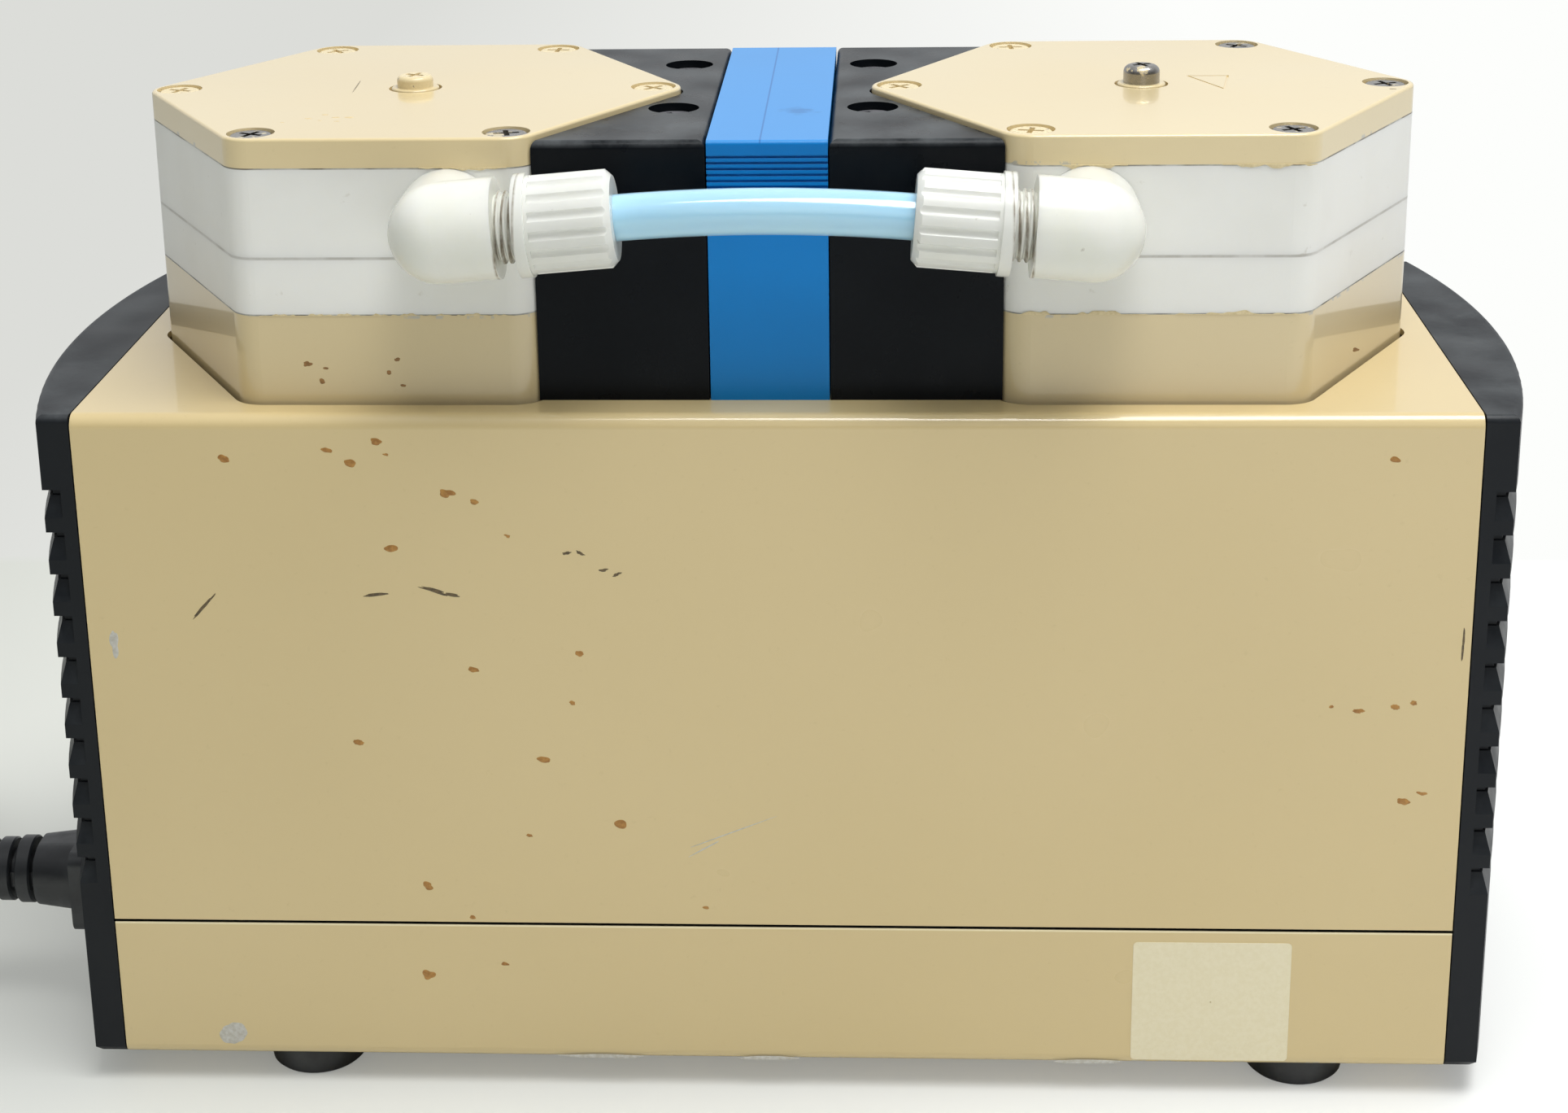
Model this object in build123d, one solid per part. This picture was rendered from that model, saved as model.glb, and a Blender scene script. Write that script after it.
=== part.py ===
from build123d import *
import os
from math import cos, pi, radians, sin, tan

# Two-head diaphragm vacuum pump, in millimetres.
# X runs to the right along the motor shaft, Y to the back, Z up. The origin is on the bench,
# under the middle of the pump. Left-hand pieces mirror the right-hand ones about X = 0.

# ---- sheet-metal case ----
CASE_WIDTH = 307.5
CASE_DEPTH = 128.0
FOOT_HEIGHT = 7.0
TRAY_HEIGHT = 35.0
SEAM_GAP = 0.8
COVER_HEIGHT = 123.0
SHEET = 1.5
BEND_RADIUS = 3.0
TRAY_LIP_HEIGHT = 17.0
COVER_LIP_HEIGHT = 16.0
SEAM_LIP = 1.2
SEAM_LIP_REACH = 5.0
SEAM_LIP_CLEARANCE = 0.2
TRAY_VENT_LENGTH = 46.0
TRAY_VENT_WIDTH = 4.0
TRAY_VENT_PITCH = 9.0
TRAY_VENT_GROUP_X = 30.0
TRAY_VENT_Y = -18.0

# ---- moulded side caps ----
CAP_GAP = 0.3
CAP_CORNER_REACH = 7.4
CAP_BULGE_REACH = 16.75
CAP_WALL = 2.4
CAP_EDGE_FILLET = 1.6
LOUVRE_COUNT = 10
LOUVRE_PITCH = 10.0
LOUVRE_HEIGHT = 8.4
LOUVRE_SKIRT = 3.4
LOUVRE_LEAN = 1.3
LOUVRE_GROOVE = 1.8
LOUVRE_TOP_BELOW_CASE_TOP = 17.2
CAP_PLAIN_EDGE = 3.0
VENT_LENGTH = 28.0
VENT_SPACING = 33.0
CAP_SCREW_Y = 50.0
CAP_SCREW_FROM_TOP = 8.0
CAP_SCREW_FROM_BOTTOM = 9.0

# ---- feet ----
FOOT_RADIUS = 12.0
FOOT_RECESS_RADIUS = 5.5
FOOT_RECESS_DEPTH = 3.8
FOOT_Y = 49.5
FOOT_LEFT_X = -111.0
FOOT_RIGHT_X = 121.5

# ---- pump heads ----
HEAD_X = 84.7
HEAD_APOTHEM = 55.0
HEAD_CORNER = 7.0
HEAD_BASE_ABOVE_CASE = 20.2
INTERMEDIATE_HEIGHT = 13.0
LID_HEIGHT = 20.2
PLATE_HEIGHT = 6.5
PLATE_EDGE = 0.7
HEAD_OPENING_CLEARANCE = 1.0
BOLT_CIRCLE_RADIUS = 56.0
HEAD_SCREW_COUNT = 6
HEAD_SCREW_RADIUS = 2.5
HEAD_SCREW_HEAD_RADIUS = 4.9
HEAD_SCREW_HEAD_HEIGHT = 3.4
HEAD_SCREW_GRIP = 22.0
COUNTERBORE_CLEARANCE = 0.35
SCREW_HOLE_CLEARANCE = 0.15
CENTRE_HOLE_RADIUS = 6.2
CENTRE_BUSH_RADIUS = 5.6
CENTRE_SCREW_RADIUS = 2.5
CENTRE_SCREW_HEAD_RADIUS = 4.2
CENTRE_SCREW_DEPTH = 10.0
CENTRE_SCREW_PROUD_RIGHT = 4.5
CENTRE_SCREW_PROUD_LEFT = 3.1

# ---- shaft and crank ----
SHAFT_Z = 96.0
SHAFT_RADIUS = 6.0
SHAFT_HALF_LENGTH = 146.0
PRESS_CLEARANCE = 0.02
RUNNING_CLEARANCE = 0.05
CRANK_THROW = 4.0
ECCENTRIC_RADIUS = 12.5
ECCENTRIC_LENGTH = 22.0
COUNTERWEIGHT_RADIUS = 29.0
COUNTERWEIGHT_LENGTH = 7.0
ROD_BEARING_RADIUS = 18.5
ROD_BEARING_WIDTH = 10.0
ROD_EYE_RADIUS = 23.0
ROD_WIDTH = 13.0
ROD_SHANK_BOTTOM = 20.0
ROD_SHANK_TOP = 13.0
ROD_WEB = 4.0
SUPPORT_DISC_RADIUS = 17.0
SUPPORT_DISC_HEIGHT = 4.0
CLAMP_DISC_HEIGHT = 2.4
CLAMP_SCREW_RADIUS = 4.0
CLAMP_SCREW_DEPTH = 16.0

# ---- diaphragm, chamber and valves ----
DIAPHRAGM_RADIUS = 48.0
DIAPHRAGM_THICKNESS = 3.0
DIAPHRAGM_CLAMPED_FROM = 39.0
CHAMBER_RADIUS = 38.0
CHAMBER_ROOF_RADIUS = 22.5
CHAMBER_LIP = 0.6
CHAMBER_CLEARANCE = 0.5
VALVE_Y = 14.0
VALVE_RADIUS = 8.0
VALVE_THICKNESS = 0.8
VALVE_LIFT = 0.6
VALVE_SIDE_CLEARANCE = 0.3
VALVE_PORT_RADIUS = 3.0

# ---- crankcases ----
CRANKCASE_HALF_WIDTH = 29.0
CRANKCASE_FLANGE_HEIGHT = 36.0
CRANKCASE_BOTTOM = 26.0
CRANKCASE_WALL = 8.5
CRANK_CAVITY_RADIUS = 33.0
ROD_BORE_RADIUS = 30.0
BEARING_RADIUS = 14.0
BEARING_WIDTH = 8.0
MOTOR_SIDE = 92.0
MOTOR_CORNER = 14.0
MOTOR_BORE_RADIUS = 42.0
TIE_BOLT_OFFSET = 37.0
TIE_BOLT_RADIUS = 2.5
STATOR_LENGTH = 56.0
STATOR_BORE_RADIUS = 26.0
STATOR_SLOTS = 12
SLOT_WIDTH = 6.0
SLOT_DEPTH = 10.0
SLOT_MOUTH = 2.2
WINDING_REACH = 14.0
WINDING_CLEARANCE = 0.4
AIR_GAP = 0.4
ROTOR_END_RING = 5.0
FAN_CLEARANCE = 8.3
SHAFT_FLAT_LENGTH = 10.0
SHAFT_FLAT_DEPTH = 0.8
FAN_WIDTH = 13.0
FAN_RADIUS = 47.0
FAN_HUB_RADIUS = 12.0
FAN_BLADES = 7
FAN_BLADE_THICKNESS = 1.8
FAN_PITCH = 32.0

# ---- rubber mounts and capacitor ----
BUFFER_RADIUS = 9.0
BUFFER_WAIST = 7.0
BUFFER_Y = 28.0
BUFFER_BOLT_RADIUS = 3.0
CAPACITOR_RADIUS = 15.0
CAPACITOR_LENGTH = 68.0
CAPACITOR_Y = 24.0
CLIP_WALL = 1.2
CLIP_WIDTH = 16.0
TERMINAL_BLOCK_INSET = 17.75
TERMINAL_BLOCK_HALF_WIDTH = 9.0

# ---- fittings and connecting tube ----
PORT_INSET = 15.7
PORT_Z = 208.1
PORT_RADIUS = 4.0
SOCKET_RADIUS = 6.5
SOCKET_DEPTH = 11.0
ELBOW_TILT = 4.8
ELBOW_STANDOFF = 13.0
ELBOW_RADIUS = 10.9
ELBOW_SHOULDER = 12.6
THREAD_RADIUS = 7.8
THREAD_ROOT = 7.1
THREAD_PITCH = 1.5
THREAD_LENGTH = 12.0
NECK_VISIBLE = 4.4
NUT_LENGTH = 20.7
NUT_RADIUS = 10.5
NUT_FLANGE_RADIUS = 11.1
NUT_FLANGE_LENGTH = 2.6
NUT_FLUTES = 16
NUT_FLUTE_DEPTH = 0.55
NUT_WALL = 2.2
TUBE_RADIUS = 5.0
TUBE_BORE = 4.0
TUBE_CLEARANCE = 0.1
FERRULE_LENGTH = 4.0
NOZZLE_COLLAR_RADIUS = 8.6
NOZZLE_COLLAR_LENGTH = 6.5
NOZZLE_RADIUS = 4.6
NOZZLE_BARB_ROOT = 4.9
NOZZLE_BARB = 5.7
NOZZLE_BARBS = 3
NOZZLE_BARB_PITCH = 3.0
NOZZLE_BORE = 3.0

# ---- centre cover and grip strip ----
BLOCK_TOP_BELOW_PLATE = 1.4
BLOCK_FRONT = -52.6
BLOCK_BACK = 56.5
BLOCK_OUTER_X = 51.6
BLOCK_GAP = 0.5
BLOCK_WALL = 3.0
BLOCK_EDGE = 1.8
STRIP_HALF_WIDTH = 13.1
STRIP_GAP = 0.3
STRIP_GROOVES = 7
STRIP_GROOVE_PITCH = 1.32
STRIP_GROOVE_DEPTH = 0.8
STRIP_GROOVE_WIDTH = 0.6
STRIP_PLAIN_BAND = 3.3
COVER_SCREW_X = 22.6
COVER_SCREW_FRONT_Y = -18.0
COVER_SCREW_BACK_Y = 33.5
COVER_SCREW_SUNK = 1.6
COVER_SCREW_COUNTERBORE = 5.8
COVER_SCREW_HEAD_RADIUS = 5.1
COVER_SCREW_HEAD_HEIGHT = 3.0
COVER_SCREW_RADIUS = 2.0

# ---- mains inlet and switch, in the left cap ----
INLET_Y = -28.0
INLET_Z = 36.4
INLET_WIDTH = 27.0
INLET_HEIGHT = 19.8
INLET_FLANGE = 1.8
INLET_FLANGE_THICKNESS = 2.0
INLET_CAVITY_WIDTH = 24.4
INLET_CAVITY_HEIGHT = 16.4
INLET_DEPTH = 22.0
INLET_FACE_X = -164.3
INLET_CAVITY_DEPTH = 15.0
PIN_SPACING = 7.0
PIN_WIDTH = 4.0
PIN_THICKNESS = 2.0
PIN_LENGTH = 11.0
PLUG_IN_CLEARANCE = 0.3
CONNECTOR_BODY_HEIGHT = 20.4
CONNECTOR_BODY_WIDTH = 27.5
CONNECTOR_COLLAR_LENGTH = 7.2
CONNECTOR_LENGTH = 17.7
CONNECTOR_BACK_HEIGHT = 15.6
CONNECTOR_BACK_WIDTH = 18.0
CONNECTOR_SHOULDER_HEIGHT = 17.4
CONNECTOR_SHOULDER_WIDTH = 22.0
BOOT_RINGS = 5
BOOT_PITCH = 5.1
BOOT_RING_WIDTH = 3.7
BOOT_RADIUS = 8.2
BOOT_TAPER = 0.45
BOOT_CORE_RADIUS = 5.2
BOOT_WEB_HEIGHT = 4.0
BOOT_TAIL = 6.5
SWITCH_Y = 22.0
SWITCH_Z = 33.0
SWITCH_WIDTH = 27.0
SWITCH_HEIGHT = 13.0
SWITCH_BEZEL = 2.0
SWITCH_DEPTH = 16.0
SWITCH_FACE_X = -165.2
ROCKER_LENGTH = 22.0
ROCKER_TILT = 8.0
ROCKER_GAP = 0.5

# ---- mains cord ----
CORD_DIAMETER = 7.0
COIL_CENTRE = (-272.0, 45.0)
COIL_MEAN_RADIUS = 40.0
COIL_COLUMNS = 2
COIL_LAYERS = 3
COIL_BOTTOM = 0.9
TIE_GAP = 0.1
TIE_SIDE_GAP = 0.5
TIE_THICKNESS = 0.7
TIE_WIDTH = 10.0
TIE_ANGLE = -50.0
TAIL_LENGTH = 26.0
PLUG_BOOT = 20.0
PLUG_LENGTH = 26.0
PLUG_NECK = 6.0
PLUG_WIDTH = 26.0
PLUG_HEIGHT = 21.0

# ---- sizes worked out from those above ----
CASE_END = CASE_WIDTH / 2
CASE_FRONT = -CASE_DEPTH / 2
TRAY_BOTTOM = FOOT_HEIGHT
TRAY_TOP = TRAY_BOTTOM + TRAY_HEIGHT
TRAY_FLOOR = TRAY_BOTTOM + SHEET
COVER_BOTTOM = TRAY_TOP + SEAM_GAP
CASE_TOP = COVER_BOTTOM + COVER_HEIGHT
BASE_TOP = CASE_TOP + HEAD_BASE_ABOVE_CASE
INTERMEDIATE_TOP = BASE_TOP + INTERMEDIATE_HEIGHT
LID_TOP = INTERMEDIATE_TOP + LID_HEIGHT
PLATE_TOP = LID_TOP + PLATE_HEIGHT
CAP_INNER = CASE_END + CAP_GAP
CAP_CORNER_X = CASE_END + CAP_CORNER_REACH
CAP_BULGE_X = CASE_END + CAP_BULGE_REACH
LOUVRE_TOP = CASE_TOP - LOUVRE_TOP_BELOW_CASE_TOP
LOUVRE_BOTTOM = LOUVRE_TOP - LOUVRE_COUNT * LOUVRE_PITCH
BLOCK_TOP = PLATE_TOP - BLOCK_TOP_BELOW_PLATE
CRANKCASE_INNER = HEAD_X - CRANKCASE_HALF_WIDTH
CRANKCASE_OUTER = HEAD_X + CRANKCASE_HALF_WIDTH
PORT_X = HEAD_X - PORT_INSET
HEAD_FRONT = -HEAD_APOTHEM
ELBOW_Y = HEAD_FRONT - ELBOW_STANDOFF
NUT_START = ELBOW_SHOULDER + NECK_VISIBLE
NUT_END = NUT_START + NUT_LENGTH
ELBOW_END = NUT_START + THREAD_LENGTH
NOZZLE_LENGTH = ELBOW_STANDOFF + NUT_FLANGE_RADIUS
FAN_X = CRANKCASE_OUTER + FAN_CLEARANCE
CONNECTOR_BACK_X = INLET_FACE_X - CONNECTOR_LENGTH
TERMINAL_BLOCK_X = TERMINAL_BLOCK_INSET - CASE_END


# ======== shared shapes ========
def box(x, y, z):
    """A block between pairs of coordinates along X, Y and Z."""
    size = (x[1] - x[0], y[1] - y[0], z[1] - z[0])
    return Pos((x[0] + x[1]) / 2, (y[0] + y[1]) / 2, (z[0] + z[1]) / 2) * Box(*size)


def rod_x(radius, start, end, y=0.0, z=0.0):
    """A cylinder along X."""
    middle = Pos((start + end) / 2, y, z)
    return middle * Rot(0, 90, 0) * Cylinder(radius, abs(end - start))


def rod_y(radius, start, end, x=0.0, z=0.0):
    """A cylinder along Y."""
    middle = Pos(x, (start + end) / 2, z)
    return middle * Rot(90, 0, 0) * Cylinder(radius, abs(end - start))


def rod_z(radius, start, end, x=0.0, y=0.0):
    """A cylinder along Z."""
    return Pos(x, y, (start + end) / 2) * Cylinder(radius, abs(end - start))


def turned_x(points):
    """A solid turned about the X axis from (x, radius) points that start and end on it."""
    profile = make_face(Polyline(*[(x, r, 0) for x, r in points], close=True))
    return revolve(profile, Axis.X)


def turned_z(points):
    """A solid turned about the Z axis from (radius, z) points."""
    profile = make_face(Polyline(*[(r, 0, z) for r, z in points], close=True))
    return revolve(profile, Axis.Z)


def mirrored(shape):
    """The same shape on the other side of the pump's middle plane."""
    return mirror(shape, about=Plane.YZ)


def head_outline(grow=0.0):
    """Hexagon with rounded corners, its tips pointing left and right."""
    outline = RegularPolygon(HEAD_APOTHEM + grow, 6, major_radius=False)
    return fillet(outline.vertices(), HEAD_CORNER + grow)


def hexagon(bottom, top, grow=0.0):
    """A head-shaped prism about X = 0."""
    return Pos(0, 0, bottom) * extrude(head_outline(grow), top - bottom)


def group(pieces):
    """Separate solids kept together as one sub-part."""
    return Compound(children=list(pieces))


def head_screw_points():
    """The six screw places of a head, about its centre."""
    step = 360 / HEAD_SCREW_COUNT
    return [Vector(BOLT_CIRCLE_RADIUS, 0).rotate(Axis.Z, k * step) for k in range(HEAD_SCREW_COUNT)]


def drilled(shape, radius, bottom, top):
    """The shape with the six head-screw holes through it."""
    return shape - [rod_z(radius, bottom, top, p.X, p.Y) for p in head_screw_points()]


def cross_recess(width, length, depth):
    """The cross-shaped hollow of a screw head, hanging down from Z = 0."""
    bar = box((-length / 2, length / 2), (-width / 2, width / 2), (-depth, 1.0))
    return bar + Rot(0, 0, 90) * bar


def flat_screw(shank, head, height, length):
    """A screw with a low round head, standing with the head's top at Z = 0."""
    top = Pos(0, 0, -height / 2) * Cylinder(head, height)
    top = fillet(top.edges().group_by(Axis.Z)[-1], height * 0.28)
    body = top + rod_z(shank, -height - length, -height)
    return body - cross_recess(0.24 * head, 1.15 * head, 0.5 * height)


# ======== sheet-metal case ========
def base_tray():
    """Folded pan with low end walls that the caps screw to."""
    y = (CASE_FRONT, -CASE_FRONT)
    pan = box((-CASE_END, CASE_END), y, (TRAY_BOTTOM, TRAY_TOP))
    long_edges = pan.edges().filter_by(Axis.X).group_by(Axis.Z)[0]
    pan = fillet(long_edges, BEND_RADIUS)
    inside = box((-CASE_END + SHEET, CASE_END - SHEET), (y[0] + SHEET, y[1] - SHEET), (TRAY_FLOOR, TRAY_TOP + 1))
    pan -= inside
    lip_top = TRAY_FLOOR + TRAY_LIP_HEIGHT
    pan -= box((-CASE_END - 1, CASE_END + 1), (y[0] + SHEET, y[1] - SHEET), (lip_top, TRAY_TOP + 1))
    pan -= [rod_z(BUFFER_BOLT_RADIUS + SCREW_HOLE_CLEARANCE, 0, TRAY_FLOOR + 1, x, by) for x, by in buffer_points()]
    pan -= [rod_z(COVER_SCREW_RADIUS + SCREW_HOLE_CLEARANCE, 0, TRAY_FLOOR + 1, x, fy) for x, fy in foot_points()]
    pan -= [tray_vent(side * TRAY_VENT_GROUP_X + k * TRAY_VENT_PITCH) for side in (-1, 1) for k in range(-2, 3)]
    return pan - cap_screw_holes(TRAY_BOTTOM + CAP_SCREW_FROM_BOTTOM)


def tray_vent(x):
    """One air slot through the tray floor."""
    slot = SlotOverall(TRAY_VENT_LENGTH, TRAY_VENT_WIDTH, rotation=90)
    return Pos(x, TRAY_VENT_Y, 0) * extrude(slot, TRAY_FLOOR + 1)


def cap_screw_holes(z):
    """Holes for the cap screws through both end walls at one height."""
    return [rod_x(COVER_SCREW_RADIUS + SCREW_HOLE_CLEARANCE, s * (CASE_END - 4), s * (CASE_END + 1), y, z)
            for s in (-1, 1) for y in (-CAP_SCREW_Y, CAP_SCREW_Y)]


def top_cover():
    """Folded cover with two head openings, turned-down ends and a seam lip behind the tray."""
    y = (CASE_FRONT, -CASE_FRONT)
    cover = box((-CASE_END, CASE_END), y, (COVER_BOTTOM, CASE_TOP))
    cover = fillet(cover.edges().filter_by(Axis.X).group_by(Axis.Z)[-1], BEND_RADIUS)
    inner_y = (y[0] + SHEET, y[1] - SHEET)
    cover -= box((-CASE_END + SHEET, CASE_END - SHEET), inner_y, (COVER_BOTTOM - 1, CASE_TOP - SHEET))
    lip_bottom = CASE_TOP - SHEET - COVER_LIP_HEIGHT
    cover -= box((-CASE_END - 1, CASE_END + 1), inner_y, (COVER_BOTTOM - 1, lip_bottom))
    opening = hexagon(CASE_TOP - 10, CASE_TOP + 1, HEAD_OPENING_CLEARANCE)
    cover -= [Pos(s * HEAD_X, 0, 0) * opening for s in (-1, 1)]
    cover -= [rod_z(COVER_SCREW_RADIUS + SCREW_HOLE_CLEARANCE, CASE_TOP - 5, CASE_TOP + 1, x, cy)
              for x, cy in cover_screw_points()]
    cover -= cap_screw_holes(CASE_TOP - CAP_SCREW_FROM_TOP)
    return cover + seam_lip(1) + seam_lip(-1)


def seam_lip(side):
    """Stepped strip behind the seam, welded to the cover and standing just behind the tray wall."""
    wall = -CASE_FRONT - SHEET
    x = (-CASE_END + 12, CASE_END - 12)
    middle = COVER_BOTTOM + SEAM_LIP_REACH
    welded = box(x, (wall - SEAM_LIP, wall), (COVER_BOTTOM, middle))
    free = box(x, (wall - SEAM_LIP, wall - SEAM_LIP_CLEARANCE), (TRAY_TOP - SEAM_LIP_REACH, COVER_BOTTOM))
    lip = welded + free
    return lip if side > 0 else mirror(lip, about=Plane.XZ)


# ======== side caps ========
def cap_plan(inset):
    """Plan of the right cap, with its front, bulged and back faces moved in by the inset."""
    front = CASE_FRONT + inset
    corner = CAP_CORNER_X - inset
    a, b, c, d = (CAP_INNER, front), (corner, front), (corner, -front), (CAP_INNER, -front)
    bulge = ThreePointArc(b, (CAP_BULGE_X - inset, 0), c)
    return make_face([Line(a, b), bulge, Line(c, d), Line(d, a)])


def cap_slab(bottom, top, inset=0.0):
    """The cap's plan raised between two heights."""
    return Pos(0, 0, bottom) * extrude(cap_plan(inset), top - bottom)


def louvre(bottom):
    """One shingle: an upright skirt below and a face that leans in above."""
    knee = bottom + LOUVRE_SKIRT
    top = bottom + LOUVRE_HEIGHT
    lean = loft([Pos(0, 0, knee) * cap_plan(0), Pos(0, 0, top) * cap_plan(LOUVRE_LEAN)], ruled=True)
    return cap_slab(bottom, knee) + lean


def vents():
    """Air slots in the grooves between the shingles."""
    slots = []
    for k in range(1, LOUVRE_COUNT):
        top = LOUVRE_BOTTOM + k * LOUVRE_PITCH
        z = (top - LOUVRE_PITCH + LOUVRE_HEIGHT, top)
        for y in (-VENT_SPACING, 0, VENT_SPACING):
            slots.append(box((CAP_CORNER_X - 4, CAP_BULGE_X + 1), (y - VENT_LENGTH / 2, y + VENT_LENGTH / 2), z))
    return slots


def outer_edges(face):
    """The edges of a cap face that don't lie against the case."""
    return [edge for edge in face.edges() if edge.center().X > CAP_INNER + 1]


def cap_shell():
    """The right cap's outer body with its shingles and cavity."""
    bottom = TRAY_BOTTOM + 0.4
    upper = cap_slab(LOUVRE_TOP, CASE_TOP)
    upper = fillet(outer_edges(upper.faces().sort_by(Axis.Z)[-1]), CAP_EDGE_FILLET)
    lower = cap_slab(bottom, LOUVRE_BOTTOM)
    lower = chamfer(outer_edges(lower.faces().sort_by(Axis.Z)[0]), CAP_EDGE_FILLET)
    shell = upper + lower + cap_slab(LOUVRE_BOTTOM, LOUVRE_TOP, LOUVRE_GROOVE)
    for k in range(LOUVRE_COUNT):
        shell += louvre(LOUVRE_BOTTOM + k * LOUVRE_PITCH)
    edge = box((CAP_INNER, CAP_INNER + CAP_PLAIN_EDGE), (CASE_FRONT, -CASE_FRONT), (LOUVRE_BOTTOM, LOUVRE_TOP))
    shell += edge
    hollow = LOUVRE_GROOVE + CAP_WALL
    cavity = cap_slab(bottom + CAP_WALL, CASE_TOP - CAP_WALL, hollow)
    cavity += Pos(-1, 0, 0) * cavity
    return shell - cavity - vents()


def cap_screw_points():
    """Y and Z of each cap screw."""
    heights = (TRAY_BOTTOM + CAP_SCREW_FROM_BOTTOM, CASE_TOP - CAP_SCREW_FROM_TOP)
    return [(y, z) for z in heights for y in (-CAP_SCREW_Y, CAP_SCREW_Y)]


def cap_screw_seat():
    """X where the heads of the cap screws rest."""
    return CAP_CORNER_X - 1.0


def side_cap():
    """Right cap with screw pillars that run in to the case."""
    cap = cap_shell()
    head = COVER_SCREW_HEAD_RADIUS + COUNTERBORE_CLEARANCE
    for y, z in cap_screw_points():
        cap += rod_x(head + 1.6, CAP_INNER, cap_screw_seat() + 1.5, y, z)
        cap -= rod_x(COVER_SCREW_RADIUS + SCREW_HOLE_CLEARANCE, CAP_INNER - 2, CAP_BULGE_X, y, z)
        cap -= rod_x(head, cap_screw_seat(), CAP_BULGE_X + 2, y, z)
    return cap


def left_cap():
    """Left cap, with openings for the mains inlet and the switch."""
    cap = mirrored(side_cap())
    for y, z, width, height, face in (
        (INLET_Y, INLET_Z, INLET_WIDTH, INLET_HEIGHT, INLET_FACE_X),
        (SWITCH_Y, SWITCH_Z, SWITCH_WIDTH, SWITCH_HEIGHT, SWITCH_FACE_X),
    ):
        cap += panel_boss(y, z, width + 8, height + 6, face)
        cap -= frame_box(y, z, width + 2 * INLET_FLANGE + 0.6, height + 2 * INLET_FLANGE + 0.6, (face, face - 12))
        cap -= frame_box(y, z, width + 0.4, height + 0.4, (face - 1, face + 20))
    return cap


def frame_box(y, z, width, height, x):
    """A block of a given width and height about a point of the left side."""
    low, high = sorted(x)
    return box((low, high), (y - width / 2, y + width / 2), (z - height / 2, z + height / 2))


def panel_boss(y, z, width, height, face):
    """Flat pad behind the cap's wall that a panel fitting seats on, clipped to the cap's outline."""
    pad = frame_box(y, z, width, height, (face + 3, face))
    outline = mirrored(cap_slab(TRAY_BOTTOM + 0.4, CASE_TOP))
    return pad & outline


def cap_screws(side):
    """Four screws of one cap."""
    screws = []
    for y, z in cap_screw_points():
        screw = flat_screw(COVER_SCREW_RADIUS, COVER_SCREW_HEAD_RADIUS, COVER_SCREW_HEAD_HEIGHT, 11.0)
        seated = Pos(cap_screw_seat() + COVER_SCREW_HEAD_HEIGHT, y, z) * Rot(0, 90, 0) * screw
        screws.append(seated if side > 0 else mirrored(seated))
    return group(screws)


# ======== feet and rubber mounts ========
def foot_points():
    """X and Y of the four feet."""
    return [(x, y) for x in (FOOT_LEFT_X, FOOT_RIGHT_X) for y in (-FOOT_Y, FOOT_Y)]


def rubber_feet():
    """Four round feet with a recess for the screw."""
    r, hole = FOOT_RADIUS, COVER_SCREW_RADIUS + SCREW_HOLE_CLEARANCE
    seat = FOOT_RECESS_DEPTH
    points = [(FOOT_RECESS_RADIUS, 0), (r - 1.6, 0), (r - 0.8, 0.8), (r, FOOT_HEIGHT), (hole, FOOT_HEIGHT),
              (hole, seat), (FOOT_RECESS_RADIUS, seat)]
    foot = turned_z(points)
    return group([Pos(x, y, 0) * foot for x, y in foot_points()])


def foot_screws():
    """Screws up through the feet, with nuts on the tray."""
    screw = flat_screw(COVER_SCREW_RADIUS, COVER_SCREW_HEAD_RADIUS, 2.6, 9.0)
    turned = Pos(0, 0, FOOT_RECESS_DEPTH - 2.6) * Rot(180, 0, 0) * screw
    nut = Pos(0, 0, TRAY_FLOOR) * extrude(RegularPolygon(3.6, 6, major_radius=False), 3.0)
    nut -= rod_z(COVER_SCREW_RADIUS, 0, 20)
    return group([Pos(x, y, 0) * part for x, y in foot_points() for part in (turned, nut)])


def buffer_points():
    """X and Y of the four rubber mounts under the crankcases."""
    return [(x, y) for x in (-HEAD_X, HEAD_X) for y in (-BUFFER_Y, BUFFER_Y)]


def rubber_buffers():
    """Four waisted rubber mounts between tray and crankcases."""
    bore = BUFFER_BOLT_RADIUS + SCREW_HOLE_CLEARANCE
    middle = (TRAY_FLOOR + CRANKCASE_BOTTOM) / 2
    points = [(bore, TRAY_FLOOR), (BUFFER_RADIUS, TRAY_FLOOR), (BUFFER_RADIUS, TRAY_FLOOR + 2),
              (BUFFER_WAIST, middle), (BUFFER_RADIUS, CRANKCASE_BOTTOM - 2),
              (BUFFER_RADIUS, CRANKCASE_BOTTOM), (bore, CRANKCASE_BOTTOM)]
    buffer = turned_z(points)
    return group([Pos(x, y, 0) * buffer for x, y in buffer_points()])


def buffer_bolts():
    """Hexagon bolts up through the tray and the rubber into the crankcases."""
    head = Pos(0, 0, TRAY_BOTTOM - 4) * extrude(RegularPolygon(5, 6, major_radius=False), 4)
    bolt = head + rod_z(BUFFER_BOLT_RADIUS, TRAY_BOTTOM, CRANKCASE_BOTTOM + 9)
    return group([Pos(x, y, 0) * bolt for x, y in buffer_points()])


# ======== crankcases and motor ========
def motor_square():
    """Rounded square outline of the motor, about the shaft, facing along X."""
    return fillet(Rectangle(MOTOR_SIDE, MOTOR_SIDE).vertices(), MOTOR_CORNER)


def along_shaft(sketch, start, end):
    """A sketch centred on the shaft, extruded along X."""
    lift = Pos(start, 0, SHAFT_Z) * Rot(0, 90, 0)
    return lift * extrude(sketch, end - start)


def tie_bolt_points():
    """Y and Z offsets of the four motor tie bolts from the shaft."""
    return [(y, z) for y in (-TIE_BOLT_OFFSET, TIE_BOLT_OFFSET) for z in (-TIE_BOLT_OFFSET, TIE_BOLT_OFFSET)]


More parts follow.
